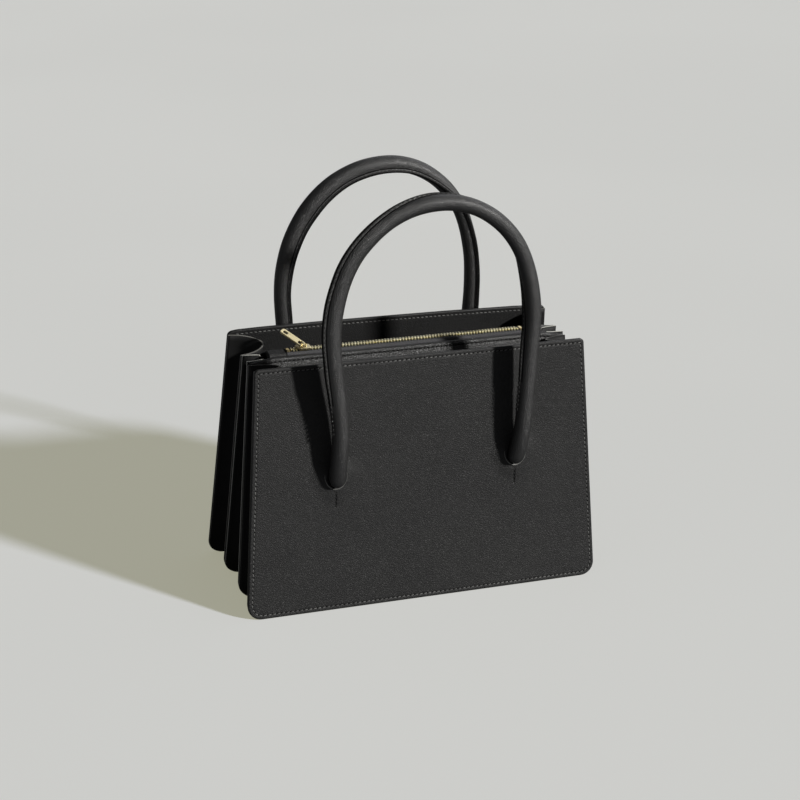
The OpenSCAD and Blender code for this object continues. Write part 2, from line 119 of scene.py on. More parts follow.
# Soft unevenness of this bag: how much taller the rear panel is along its top, the partitions'
# hanging corners, the strip along their top that curls in towards the zip, and their bulge
REAR_RISE = (
    [-126, -100, -44, 0, 50, 100, 118, 126],
    [0.8, 2.3, 3.5, 4.0, 4.4, 4.3, 3.9, 2.6],
)
REAR_RISE_FROM = 118.0
CORNER_SAG = 2.2
CORNER_SAG_FROM = 100.0
CORNER_SAG_LOW = 150.0
CURL_H = 9.5
CURL_IN = 2.6
PARTITION_BULGE = 1.7

# Places of the feet across and up each panel. The front handle's right foot sits further out and higher
FRONT_PLACES = ((-FOOT_HALF, FOOT_S), (FOOT_HALF + 2.0, FOOT_S + 2.5))
REAR_PLACES = ((-FOOT_HALF, FOOT_S), (FOOT_HALF, FOOT_S))


# Meshes


def link(obj):
    bpy.context.scene.collection.objects.link(obj)
    return obj


def piece(name, points, faces, materials, face_slots=None, uv=None):
    """A smooth mesh object from points in millimetres."""
    mesh = bpy.data.meshes.new(name)
    mesh.from_pydata((np.asarray(points, float) * MM).tolist(), [], [list(map(int, f)) for f in faces])
    for material in materials:
        mesh.materials.append(material)
    if face_slots is not None:
        mesh.polygons.foreach_set("material_index", np.asarray(face_slots, np.int32))
    mesh.polygons.foreach_set("use_smooth", np.ones(len(mesh.polygons), bool))
    if uv is not None:
        layer = mesh.uv_layers.new(name="UVMap")
        loops = np.zeros(len(mesh.loops), np.int32)
        mesh.loops.foreach_get("vertex_index", loops)
        layer.data.foreach_set("uv", np.asarray(uv, np.float32)[loops].ravel())
    face_outwards(mesh)
    mesh.update()
    return link(bpy.data.objects.new(name, mesh))


def face_outwards(mesh):
    """Turns every face of a closed mesh outwards."""
    work = bmesh.new()
    work.from_mesh(mesh)
    bmesh.ops.recalc_face_normals(work, faces=work.faces[:])
    work.to_mesh(mesh)
    work.free()


def grid_faces(rows, columns, first=0, close_columns=False):
    """Quads of a grid whose points are stored row by row."""
    i = np.arange(rows - 1)[:, None]
    j = np.arange(columns if close_columns else columns - 1)[None, :]
    a = i * columns + j
    b = (i + 1) * columns + j
    c = (i + 1) * columns + (j + 1) % columns
    d = i * columns + (j + 1) % columns
    return (np.stack([a, b, c, d], axis=-1).reshape(-1, 4) + first).tolist()


def sheet_faces(rows, columns):
    """Quads of a closed sheet, its front points stored before its back points, and the rim's count."""
    count = rows * columns
    loop = list(range(columns))
    loop += [r * columns + columns - 1 for r in range(1, rows)]
    loop += [(rows - 1) * columns + c for c in range(columns - 2, -1, -1)]
    loop += [r * columns for r in range(rows - 2, 0, -1)]
    faces = grid_faces(rows, columns)
    faces += [f[::-1] for f in grid_faces(rows, columns, count)]
    faces += [[a, b, b + count, a + count] for a, b in zip(loop, loop[1:] + loop[:1])]
    return faces, len(loop)


def bar_faces(rings, columns):
    """Quads of a bar made of closed rings, and the two flat faces that end it."""
    faces = grid_faces(rings, columns, close_columns=True)
    return faces + [list(range(columns)), list(range(columns * (rings - 1), columns * rings))]


def smooth_step(x, low, high):
    t = np.clip((x - low) / (high - low), 0, 1)
    return t * t * (3 - 2 * t)


# Materials


def new_group(name, inputs, outputs):
    group = bpy.data.node_groups.new(name, "ShaderNodeTree")
    for label, value in inputs.items():
        socket = group.interface.new_socket(label, in_out="INPUT", socket_type="NodeSocketFloat")
        socket.default_value = value
    for label in outputs:
        group.interface.new_socket(label, in_out="OUTPUT", socket_type="NodeSocketFloat")
    return group, group.nodes.new("NodeGroupInput"), group.nodes.new("NodeGroupOutput")


def math_node(tree, operation, a, b=None, clamp=False):
    node = tree.nodes.new("ShaderNodeMath")
    node.operation = operation
    node.use_clamp = clamp
    for socket, value in zip(node.inputs, (a, b)):
        if value is None:
            continue
        if isinstance(value, (int, float)):
            socket.default_value = value
        else:
            tree.links.new(value, socket)
    return node.outputs[0]


def map_node(tree, value, low, high, to_low, to_high):
    node = tree.nodes.new("ShaderNodeMapRange")
    node.interpolation_type = "SMOOTHSTEP"
    tree.links.new(value, node.inputs["Value"])
    for label, number in (("From Min", low), ("From Max", high), ("To Min", to_low), ("To Max", to_high)):
        node.inputs[label].default_value = number
    return node.outputs["Result"]


def noise_node(tree, vector, scale, detail, rough):
    node = tree.nodes.new("ShaderNodeTexNoise")
    tree.links.new(vector, node.inputs["Vector"])
    if isinstance(scale, (int, float)):
        node.inputs["Scale"].default_value = scale
    else:
        tree.links.new(scale, node.inputs["Scale"])
    node.inputs["Detail"].default_value = detail
    node.inputs["Roughness"].default_value = rough
    return node.outputs["Fac"]


def leather_grain_group():
    """Pebbled calf grain: cells with fine creases between them, pores, and slow changes of tone."""
    group, given, out = new_group(
        "leather_grain", {"Grain": 1100.0, "Slow": 18.0}, ("Height", "Crease", "Tone")
    )
    place = group.nodes.new("ShaderNodeTexCoord").outputs["Object"]
    wobble = group.nodes.new("ShaderNodeTexNoise")
    group.links.new(place, wobble.inputs["Vector"])
    wobble.inputs["Scale"].default_value = 260.0
    shift = group.nodes.new("ShaderNodeVectorMath")
    shift.operation = "SCALE"
    shift.inputs["Scale"].default_value = 0.0009
    group.links.new(wobble.outputs["Color"], shift.inputs[0])
    moved = group.nodes.new("ShaderNodeVectorMath")
    group.links.new(place, moved.inputs[0])
    group.links.new(shift.outputs[0], moved.inputs[1])
    cells = group.nodes.new("ShaderNodeTexVoronoi")
    cells.feature = "DISTANCE_TO_EDGE"
    group.links.new(moved.outputs[0], cells.inputs["Vector"])
    group.links.new(given.outputs["Grain"], cells.inputs["Scale"])
    crease = map_node(group, cells.outputs["Distance"], 0.0, 0.22, 0.0, 1.0)
    pores = noise_node(group, place, math_node(group, "MULTIPLY", given.outputs["Grain"], 2.7), 3.0, 0.6)
    slow = noise_node(group, place, given.outputs["Slow"], 3.0, 0.55)
    high_cells = math_node(group, "MULTIPLY", crease, 0.65)
    low_pores = math_node(group, "MULTIPLY", pores, 0.5)
    group.links.new(math_node(group, "ADD", high_cells, low_pores), out.inputs["Height"])
    group.links.new(crease, out.inputs["Crease"])
    group.links.new(map_node(group, slow, 0.3, 0.7, 0.0, 1.0), out.inputs["Tone"])
    return group


def worn_group():
    """Slow and fine patches for paint, thread and metal."""
    group, given, out = new_group("patches", {"Fine": 900.0, "Slow": 60.0}, ("Fine", "Slow"))
    place = group.nodes.new("ShaderNodeTexCoord").outputs["Object"]
    fine = noise_node(group, place, given.outputs["Fine"], 3.0, 0.6)
    slow = noise_node(group, place, given.outputs["Slow"], 2.0, 0.5)
    group.links.new(map_node(group, fine, 0.3, 0.7, 0.0, 1.0), out.inputs["Fine"])
    group.links.new(map_node(group, slow, 0.35, 0.65, 0.0, 1.0), out.inputs["Slow"])
    return group


def weave_group():
    """Twill of the zip's tape, in the piece's own map: u along and v across, in metres."""
    group, given, out = new_group("tape_weave", {"Thread": 0.00045}, ("Height", "Tone"))
    uv = group.nodes.new("ShaderNodeUVMap").outputs["UV"]
    split = group.nodes.new("ShaderNodeSeparateXYZ")
    group.links.new(uv, split.inputs[0])
    turn = 2 * math.pi
    along = math_node(group, "DIVIDE", split.outputs["X"], given.outputs["Thread"])
    across = math_node(group, "DIVIDE", split.outputs["Y"], given.outputs["Thread"])
    fold = math_node(group, "PINGPONG", across, 3.0)
    slanted = math_node(group, "ADD", along, fold)
    diagonal = math_node(group, "SINE", math_node(group, "MULTIPLY", slanted, turn))
    rows = math_node(group, "SINE", math_node(group, "MULTIPLY", across, turn))
    high_twill = math_node(group, "MULTIPLY", diagonal, 0.6)
    high_rows = math_node(group, "MULTIPLY", rows, 0.35)
    group.links.new(math_node(group, "ADD", high_twill, high_rows), out.inputs["Height"])
    group.links.new(map_node(group, diagonal, -0.8, 0.8, 0.0, 1.0), out.inputs["Tone"])
    return group


GRAIN = leather_grain_group()
PATCHES = worn_group()
WEAVE = weave_group()


def start_material(name, rough, specular, metallic=0.0):
    material = bpy.data.materials.new(name)
    material.use_nodes = True
    tree = material.node_tree
    shader = tree.nodes["Principled BSDF"]
    shader.inputs["Roughness"].default_value = rough
    shader.inputs["Specular IOR Level"].default_value = specular
    shader.inputs["Metallic"].default_value = metallic
    return material, tree, shader


def place_group(tree, group, **values):
    node = tree.nodes.new("ShaderNodeGroup")
    node.node_tree = group
    for label, value in values.items():
        node.inputs[label].default_value = value
    return node


def mix_colour(tree, mask, low, high):
    node = tree.nodes.new("ShaderNodeMix")
    node.data_type = "RGBA"
    tree.links.new(mask, node.inputs["Factor"])
    node.inputs["A"].default_value = (*low, 1)
    node.inputs["B"].default_value = (*high, 1)
    return node.outputs["Result"]


def bump(tree, shader, height, strength, distance):
    node = tree.nodes.new("ShaderNodeBump")
    node.inputs["Strength"].default_value = strength
    node.inputs["Distance"].default_value = distance
    tree.links.new(height, node.inputs["Height"])
    tree.links.new(node.outputs["Normal"], shader.inputs["Normal"])


def leather(name, low, high, rough, grain=1100.0, depth=0.00012, strength=0.5, specular=0.4):
    """Grained leather between two colours, with its roughness on cells and in creases."""
    material, tree, shader = start_material(name, rough[0], specular)
    skin = place_group(tree, GRAIN, Grain=grain)
    tree.links.new(mix_colour(tree, skin.outputs["Tone"], low, high), shader.inputs["Base Color"])
    roughness = map_node(tree, skin.outputs["Crease"], 0, 1, rough[1], rough[0])
    tree.links.new(roughness, shader.inputs["Roughness"])
    bump(tree, shader, skin.outputs["Height"], strength, depth)
    return material


def patched(name, low, high, rough, metallic=0.0, specular=0.5, fine=900.0, strength=0.15):
    """Paint, thread or metal with slow and fine patches between two colours and two roughnesses."""
    material, tree, shader = start_material(name, rough[0], specular, metallic)
    spots = place_group(tree, PATCHES, Fine=fine)
    tree.links.new(mix_colour(tree, spots.outputs["Slow"], low, high), shader.inputs["Base Color"])
    roughness = map_node(tree, spots.outputs["Fine"], 0, 1, rough[0], rough[1])
    tree.links.new(roughness, shader.inputs["Roughness"])
    bump(tree, shader, spots.outputs["Fine"], strength, 0.00005)
    return material


def tape_material():
    material, tree, shader = start_material("zip_tape", 0.75, 0.2)
    cloth = place_group(tree, WEAVE)
    tree.links.new(
        mix_colour(tree, cloth.outputs["Tone"], (0.02, 0.02, 0.022), (0.13, 0.13, 0.136)),
        shader.inputs["Base Color"],
    )
    bump(tree, shader, cloth.outputs["Height"], 0.6, 0.0001)
    return material


def grey(value):
    return (value, value, value)


PANEL_LEATHER = leather("panel_leather", grey(0.015), (0.019, 0.019, 0.0188), (0.46, 0.58),
                        grain=950.0, depth=0.00028, strength=0.7, specular=0.42)
GUSSET_LEATHER = leather("gusset_leather", grey(0.010), grey(0.014), (0.5, 0.65), specular=0.25)
LINING = leather("lining_leather", grey(0.009), grey(0.014), (0.55, 0.7),
                 grain=900.0, depth=0.0003, strength=0.75, specular=0.35)
HANDLE_LEATHER = leather("handle_leather", grey(0.008), (0.011, 0.011, 0.0108), (0.42, 0.52),
                         grain=950.0, depth=0.00035, strength=0.6, specular=1.0)
PARTITION_LEATHER = leather("partition_leather", grey(0.018), (0.026, 0.026, 0.0255), (0.36, 0.46),
                            grain=900.0, depth=0.00045, strength=0.9, specular=1.0)
EDGE_PAINT = patched("edge_paint", grey(0.010), grey(0.02), (0.35, 0.48))
# Near-black painted shade for the stitch grooves and for the crease at the foot of each handle's ridge; it
# is also the black of the ridge's painted edge
SHADE_BLACK = patched("stitch_groove", grey(0.003), grey(0.006), (0.6, 0.75), specular=0.15)
# Lip round each handle foot: its black edge paint lightened to grey as a painted highlight
LIP_HIGHLIGHT = patched("lip_painted_highlight", (0.10, 0.10, 0.095), (0.30, 0.30, 0.285), (0.22, 0.34), fine=1900.0)
# Grey line on the near flank of each handle's sewn ridge: a painted highlight on the same leather
SEAM_HIGHLIGHT = patched("seam_painted_highlight", (0.02, 0.02, 0.019), (0.045, 0.045, 0.043), (0.3, 0.42), fine=1600.0)
RAW_EDGE = patched("raw_edge", (0.15, 0.147, 0.136), (0.24, 0.236, 0.22), (0.4, 0.55), fine=1600.0)
# Near-white top edges of the middle gusset: a painted highlight where the up-facing cut edges catch the
# light, over a lighter raw-edge colour
PALE_EDGE_HIGHLIGHT = patched("pale_edge_painted_highlight", (0.78, 0.78, 0.71), (0.90, 0.90, 0.83), (0.45, 0.6), fine=1600.0)
# Dark grey thread lightened well past its own colour: a painted sheen that makes the stitches read as light
# dashes
SHEEN_THREAD = patched("thread", (0.08, 0.08, 0.078), (0.17, 0.17, 0.165), (0.4, 0.6), fine=2500.0, strength=0.4)
# Near-black thread, also used as painted shade on the tape beside the teeth
DARK_THREAD_AND_SHADE = patched("dark_thread_and_shade", grey(0.004), grey(0.012), (0.5, 0.7), fine=2500.0)
TAPE = tape_material()
TEETH_BRASS = patched("teeth_brass", (0.96, 0.86, 0.52), (1.0, 0.94, 0.66), (0.30, 0.44),
                      metallic=1.0, strength=0.08)
SLIDER_BRASS = patched("slider_brass", (0.62, 0.53, 0.30), (0.70, 0.61, 0.37), (0.26, 0.38),
                       metallic=1.0, strength=0.06)
STOP_BRASS = patched("stop_brass", (0.72, 0.58, 0.30), (0.84, 0.70, 0.40), (0.26, 0.4),
                     metallic=1.0, strength=0.08)
TAB_LEATHER = leather("tab_leather", grey(0.014), grey(0.020), (0.45, 0.6),
                      grain=900.0, depth=0.0003, strength=0.75)


# Stitches and teeth, set on points by a node tree


def repeat_tree(name):
    """Sets one small piece on every point, turned by the point's own angles, with a little unevenness."""
    tree = bpy.data.node_groups.new(name, "GeometryNodeTree")
    face = tree.interface
    face.new_socket("Geometry", in_out="INPUT", socket_type="NodeSocketGeometry")
    sockets = {
        "Piece": face.new_socket("Piece", in_out="INPUT", socket_type="NodeSocketObject"),
        "Length": face.new_socket("Length", in_out="INPUT", socket_type="NodeSocketFloat"),
        "Unevenness": face.new_socket("Unevenness", in_out="INPUT", socket_type="NodeSocketFloat"),
        "Seed": face.new_socket("Seed", in_out="INPUT", socket_type="NodeSocketInt"),
        "Material": face.new_socket("Material", in_out="INPUT", socket_type="NodeSocketMaterial"),
    }
    face.new_socket("Geometry", in_out="OUTPUT", socket_type="NodeSocketGeometry")
    nodes, links = tree.nodes, tree.links
    given, out = nodes.new("NodeGroupInput"), nodes.new("NodeGroupOutput")
    angles = nodes.new("GeometryNodeInputNamedAttribute")
    angles.data_type = "FLOAT_VECTOR"
    angles.inputs["Name"].default_value = "angles"
    chance = nodes.new("FunctionNodeRandomValue")
    chance.data_type = "FLOAT_VECTOR"
    chance.inputs["Min"].default_value = (-1, -1, -1)
    chance.inputs["Max"].default_value = (1, 1, 1)
    links.new(given.outputs["Seed"], chance.inputs["Seed"])
    spread = nodes.new("ShaderNodeVectorMath")
    spread.operation = "SCALE"
    links.new(chance.outputs["Value"], spread.inputs[0])
    links.new(given.outputs["Unevenness"], spread.inputs["Scale"])
    add = nodes.new("ShaderNodeVectorMath")
    links.new(angles.outputs["Attribute"], add.inputs[0])
    links.new(spread.outputs[0], add.inputs[1])
    turn = nodes.new("FunctionNodeEulerToRotation")
    links.new(add.outputs[0], turn.inputs[0])
    source = nodes.new("GeometryNodeObjectInfo")
    source.inputs["As Instance"].default_value = True
    links.new(given.outputs["Piece"], source.inputs["Object"])
    size = nodes.new("ShaderNodeCombineXYZ")
    links.new(given.outputs["Length"], size.inputs["X"])
    size.inputs["Y"].default_value = 1
    size.inputs["Z"].default_value = 1
    put = nodes.new("GeometryNodeInstanceOnPoints")
    links.new(given.outputs["Geometry"], put.inputs["Points"])
    links.new(source.outputs["Geometry"], put.inputs["Instance"])
    links.new(turn.outputs[0], put.inputs["Rotation"])
    links.new(size.outputs[0], put.inputs["Scale"])
    real = nodes.new("GeometryNodeRealizeInstances")
    links.new(put.outputs[0], real.inputs[0])
    paint = nodes.new("GeometryNodeSetMaterial")
    links.new(real.outputs[0], paint.inputs["Geometry"])
    links.new(given.outputs["Material"], paint.inputs["Material"])
    links.new(paint.outputs[0], out.inputs[0])
    return tree, {label: socket.identifier for label, socket in sockets.items()}


REPEAT, REPEAT_SOCKETS = repeat_tree("repeat_on_points")


def repeat(name, item, places, material, length, unevenness, seed):
    """places: rows of (point, direction of the item's x, direction of its z), in millimetres."""
    mesh = bpy.data.meshes.new(name + "_points")
    mesh.from_pydata([[c * MM for c in place[0]] for place in places], [], [])
    angles = mesh.attributes.new("angles", "FLOAT_VECTOR", "POINT")
    for i, (_, along, up) in enumerate(places):
        x = Vector(along).normalized()
        z = Vector(up)
        z = (z - x * z.dot(x)).normalized()
        y = z.cross(x)
        angles.data[i].vector = Matrix((x, y, z)).transposed().to_euler()
    points = link(bpy.data.objects.new(name + "_points", mesh))
    modifier = points.modifiers.new("repeat", "NODES")
    modifier.node_group = REPEAT
    modifier[REPEAT_SOCKETS["Piece"]] = item
    modifier[REPEAT_SOCKETS["Length"]] = float(length)
    modifier[REPEAT_SOCKETS["Unevenness"]] = float(unevenness)
    modifier[REPEAT_SOCKETS["Seed"]] = seed
    modifier[REPEAT_SOCKETS["Material"]] = material
    seen = points.evaluated_get(bpy.context.evaluated_depsgraph_get())
    result = bpy.data.meshes.new_from_object(seen)
    result.name = name
    bpy.data.objects.remove(points)
    return link(bpy.data.objects.new(name, result))


def stitch_item():
    """One stitch, a short thread whose two ends dip into the leather, along x."""
    along = np.array([-1.3, -1.15, -0.8, -0.3, 0.3, 0.8, 1.15, 1.3])
    rise = np.array([-0.38, -0.16, 0.02, 0.08, 0.08, 0.02, -0.16, -0.38])
    radius = np.array([0.10, 0.25, 0.33, 0.36, 0.36, 0.33, 0.25, 0.10])
    turn = np.arange(6) * math.pi / 3
    points = [
        (x, r * math.cos(t) * 1.1, z + r * math.sin(t) * 0.85)
        for x, z, r in zip(along, rise, radius) for t in turn
    ]
    return piece("stitch_item", points, bar_faces(8, 6), [SHEEN_THREAD])


STITCH = stitch_item()


# Panels and partitions


OUTER = {"top": PANEL_TOP_W / 2, "bottom": PANEL_BOTTOM_W / 2, "slope": PANEL_H / math.cos(PANEL_LEAN),
         "lean": PANEL_LEAN, "depth": BOTTOM_DEPTH / 2}
INNER = {"top": PANEL_TOP_W / 2 - PARTITION_INSET, "bottom": PANEL_BOTTOM_W / 2 - PARTITION_INSET,
         "slope": PARTITION_H / math.cos(PARTITION_LEAN), "lean": PARTITION_LEAN,
         "depth": PARTITION_BOTTOM_DEPTH / 2}

# Distances from a panel's outline at which its grid has a line, and the grid's step further in. It is finer
# near the feet and the darts: how far to each side, and the step there
EDGE_LINES = [
    0, 0.1, 0.3, 0.6, 0.95, 1.4, 1.9, 2.3, 2.6, 2.85, 3.15, 3.4, 3.7, 4.2, 5.0, 6.2, 7.8, 9.4, 11.0,
]
PLAIN_STEP = 3.0
FOOT_COLUMNS = (19, 0.9)
FOOT_ROWS = (27, 0.9)
DART_COLUMNS = (1.9, 0.35)
FAR = 1e3

# Painted edge and stitch groove of a panel, the rounding of its two cut edges, the seat and least thickness
# of its skins, where their unevenness begins, the slant of a stitch, and its corners' steps
PAINT_W = 0.55
GROOVE_W = 0.72
EDGE_ROUND = 0.95
LINING_ROUND = 0.7
SKIN_GAP = 0.02
SKIN_LEAST = 0.35
SAG_FADE = (1.0, 12.0)
STITCH_TILT = 0.12
CORNER_STEPS = 12

# Raised leather round the handle feet and the room in its hollow, the dart below each, and where these fade
FOOT_ROOM = 0.2
SWELL_H = 1.9
SWELL_W = 14.0
SWELL_FADE = (0.0, 14.0)
DART_DEEP = 0.8
DART_W = 0.55
DART_START = (3.4, 4.6)
DART_END = (14.6, 15.8)


def half_width(panel, s):
    return panel["bottom"] + (panel["top"] - panel["bottom"]) * s / panel["slope"]


def rear_rise(x, height):
    """The rear panel's upper part stands a little taller than the front's, by its own x and height."""
    return np.interp(x, *REAR_RISE) * smooth_step(height, REAR_RISE_FROM, PANEL_H)


def corner_sag(x, height):
    """The partitions' top corners hang a little lower than their middle."""
    near_end = smooth_step(np.abs(x), CORNER_SAG_FROM, INNER["top"] - 1.0)
    return CORNER_SAG * near_end * smooth_step(height, CORNER_SAG_LOW, PARTITION_H)


def stand(panel, x, s, n, turned):
    """From the panel's own plane (across, up the slope, out of its face) to the bag's x, y and z."""
    if turned and panel is OUTER:
        s = s + rear_rise(x, s)
    if panel is INNER:
        s = s - corner_sag(x, s)
    y = -panel["depth"] + s * math.sin(panel["lean"]) - n * math.cos(panel["lean"])
    z = np.maximum(s * math.cos(panel["lean"]) + n * math.sin(panel["lean"]), 0)
    sign = -1 if turned else 1
    return np.stack([sign * x, sign * y, z], axis=-1)


def direction(panel, x, s, n, turned):
    """The same turn for a direction."""
    sign = -1 if turned else 1
    y = s * math.sin(panel["lean"]) - n * math.cos(panel["lean"])
    z = s * math.cos(panel["lean"]) + n * math.sin(panel["lean"])
    return (sign * x, sign * y, z)


def spaced(low, high, step, fine):
    """Values from low to high, closer together near fine spots, each with its reach and its step."""
    values = [low]
    while values[-1] < high - 1e-6:
        near = [fine_step for spot, reach, fine_step in fine if abs(values[-1] - spot) < reach]
        values.append(values[-1] + min(near + [step]))
    values = np.array(values)
    return low + (values - low) * (high - low) / (values[-1] - low)


def panel_grid(panel, fine):
    """Grid over a panel with rounded corners: x, s and each point's distance from the outline."""
    slope = panel["slope"]
    edge = np.array(EDGE_LINES)
    reach = edge[-1]
    if fine:
        wide = half_width(panel, FOOT_Z) - reach
        spots = [(side * FOOT_HALF, *FOOT_COLUMNS) for side in (-1, 1)]
        spots += [(place[0], *DART_COLUMNS) for place in FRONT_PLACES + REAR_PLACES]
        columns = spaced(-wide, wide, PLAIN_STEP, spots)[1:-1] / wide
        rows = spaced(reach, slope - reach, PLAIN_STEP, [(FOOT_Z - 4, *FOOT_ROWS)])[1:-1]
    else:
        columns = np.linspace(-1, 1, 72)[1:-1]
        rows = np.linspace(reach, slope - reach, 50)[1:-1]
    not_near = np.full(len(columns) + len(edge), FAR)
    a_left = np.concatenate([edge, not_near])
    a_right = np.concatenate([not_near, edge[::-1]])
    share = np.concatenate([np.full(len(edge), -1), columns, np.full(len(edge), 1)])
    s_all = np.concatenate([edge, rows, slope - edge[::-1]])
    s = np.repeat(s_all[:, None], len(share), axis=1)
    a = np.minimum(a_left, a_right)[None, :] + np.zeros_like(s)
    inset = np.minimum(np.minimum(a, s), slope - s)
    for corner_r, from_edge, bottom in ((BOTTOM_CORNER_R, s, True), (TOP_CORNER_R, slope - s, False)):
        inside = (a < corner_r) & (from_edge < corner_r)
        m = np.minimum(a, from_edge)
        span = np.maximum(corner_r - m, 1e-9)
        from_side = 1 - 0.5 * (corner_r - a) / span
        t = np.where(a <= from_edge, 0.5 * (corner_r - from_edge) / span, from_side)
        new_a = corner_r - span * np.cos(t * math.pi / 2)
        new_b = corner_r - span * np.sin(t * math.pi / 2)
        a = np.where(inside, new_a, a)
        s = np.where(inside, new_b if bottom else slope - new_b, s)
    half = half_width(panel, s)
    x = np.where(a < FAR / 10, np.sign(share)[None, :] * (half - a), share[None, :] * (half - reach))
    return x, s, inset


def edge_drop(inset, r):
    """How far a rounded edge of radius r falls, at a distance from the outline."""
    away = np.clip(r - inset, 0, r)
    return r - np.sqrt(np.maximum(r * r - away * away, 0))


def stitch_groove(inset):
    """Hollow that the stitches pull into the leather, less the low swell beside it."""
    hollow = 0.38 * np.exp(-((inset - STITCH_INSET) / 0.5) ** 2)
    return hollow - 0.08 * np.exp(-((inset - 1.9) / 0.6) ** 2)


def sag(panel, x, s):
    """Slow unevenness of leather over board."""
    u, v = x / panel["bottom"], s / panel["slope"]
    return (
        0.16 * np.sin(3.1 * u + 1.3) * np.sin(2.6 * v + 0.4)
        + 0.09 * np.sin(7.3 * u + 2.1 * v + 0.8)
        + 0.06 * np.sin(11.0 * v - 4.0 * u)
    )


def partition_bow(panel, x, s):
    """Slow bulge of a partition, and its top strip that bends in towards the zip."""
    u = np.minimum(np.abs(x / half_width(panel, s)), 1)
    bulge = PARTITION_BULGE * (1 - u ** 2) * (s / panel["slope"]) ** 2
    top = np.clip((s - panel["slope"] + CURL_H) / CURL_H, 0, 1)
    return bulge - CURL_IN * (1 - u ** 8) * top ** 1.4


def leg_bend(rise):
    """How far the foot bend has taken a leg's axis out of the line from its foot, rise millimetres up."""
    low = np.clip(math.sin(FOOT_TURN) - rise / FOOT_BEND_R, 0, 1)
    return FOOT_BEND_R * (np.sqrt(1 - low * low) - math.cos(FOOT_TURN))


def axis_height(rise, lean):
    """Height of a leg's axis over the face, rise millimetres up from the foot."""
    return FOOT_PROUD + rise * math.sin(PANEL_LEAN - lean) + leg_bend(rise)


def eased(t, knots):
    """Value at t on a line through the knots whose corners are rounded."""
    at, values = knots
    around = np.linspace(-9, 9, 7)
    spots = np.asarray(t, float)[..., None] + around
    return np.interp(spots, at, values).mean(axis=-1)


# Sideways wander of each handle, by millimetres along it from its left foot as seen from the front
FRONT_WANDER = (
    [-20, 0, 15, 38, 60, 85, 115, 130, 148, 165, 185, 205, 239, 275, 295, 315, 340, 380, 460, 479],
    [0, 0, 1.0, 3.7, 3.0, 2.0, 1.6, 1.7, 2.1, 2.5, 2.9, 2.7, 2.2, 2.0, 1.7, 1.5, 1.0, 0.6, 1.9, 2.0],
)
REAR_WANDER = (
    [0, 20, 40, 100, 115, 129, 137, 145, 154, 162, 172, 182,
     208, 239, 255, 270, 285, 310, 335, 375, 395, 440, 465, 479],
    [0, 0, -1.9, -1.95, -1.5, -0.9, -0.5, 0.1, 1.1, 1.8, 2.4, 2.6,
     2.3, 2.3, 1.1, -0.4, -2.0, -3.2, -3.6, -2.9, -1.4, -1.0, 0, 0],
)


def foot_relief(x, s, front):
    """Raised leather round the handle feet, with the hollow that each leg lies in and a stitched dart."""
    n = np.zeros_like(x)
    lean = FRONT_LEAN if front else REAR_LEAN
    for side, (foot_x, foot_s) in zip((-1, 1), FRONT_PLACES if front else REAR_PLACES):
        rise = s - foot_s
        up = np.maximum(rise, 0)
        axis = foot_x + side * up * math.tan(LEG_SPLAY)
        if front and side < 0:
            axis = axis + eased(rise, FRONT_WANDER)
        dx = x - axis
        room = HANDLE_R + FOOT_ROOM
        share = np.hypot(dx / room, np.minimum(rise, 0) / FOOT_LENGTH)
        down = np.clip(-rise / FOOT_LENGTH, 0, 1)
        away = np.maximum(share - 1, 0) * room / (SWELL_W - 3.0 * down)
        swell = np.cos(np.clip(away, 0, 1) * math.pi / 2) ** 2 * (SWELL_H - 0.6 * down)
        swell = swell * (1 - smooth_step(rise, *SWELL_FADE))
        below = -rise - FOOT_LENGTH
        dart = np.exp(-(dx / DART_W) ** 4) * smooth_step(below, *DART_START)
        dart = dart * (1 - smooth_step(below, *DART_END))
        soft = np.exp(-(dx / (4 * DART_W)) ** 2) * smooth_step(below, 0.5, 5.0)
        soft = soft * (1 - smooth_step(below, 12.0, 19.0))
        n = n + swell - DART_DEEP * dart - 0.12 * soft
        deep = np.where(rise > 0, axis_height(up, lean), FOOT_PROUD + np.minimum(rise, 0) * 0.4)
        hollow = deep - room * np.sqrt(np.maximum(1 - share * share, 0))
        n = np.where(share < 1, np.minimum(n, hollow), n)
    return n


def slab(name, grid, front, back, place, materials, slots):
    """A closed sheet between two heights over one grid. slots: material of front, rim, back and groove."""
    x, s, inset = grid
    rows, columns = x.shape
    points = np.concatenate([place(x, s, front).reshape(-1, 3), place(x, s, back).reshape(-1, 3)])
    faces, rim = sheet_faces(rows, columns)
    middle = inset[:-1, :-1] + inset[1:, :-1] + inset[:-1, 1:] + inset[1:, 1:]
    middle = middle.ravel() / 4
    near = middle < PAINT_W
    kinds = np.where(near, slots[1], slots[0])
    kinds = np.where(np.abs(middle - STITCH_INSET) < GROOVE_W / 2, slots[3], kinds).tolist()
    kinds += np.where(near, slots[1], slots[2]).tolist()
    kinds += [slots[1]] * rim
    return piece(name, points, faces, materials, kinds)


def outline_walk(panel, inset, pitch):
    """Evenly spaced places along the line that lies inset from a panel's outline: x, s and direction."""
    slope = panel["slope"]
    corners = []
    for sx, bottom in ((-1, False), (-1, True), (1, True), (1, False)):
        r = max((BOTTOM_CORNER_R if bottom else TOP_CORNER_R) - inset, 0.05)
        s0 = inset + r if bottom else slope - inset - r
        x0 = sx * (half_width(panel, s0) - inset - r)
        corners.append((x0, s0, r))
    line = []
    for (x0, s0, r), start in zip(corners, (90, 180, 270, 0)):
        for i in range(CORNER_STEPS + 1):
            t = math.radians(start + i * 90 / CORNER_STEPS)
            line.append((x0 + r * math.cos(t), s0 + r * math.sin(t)))
    return walk(np.array(line + line[:1]), pitch)


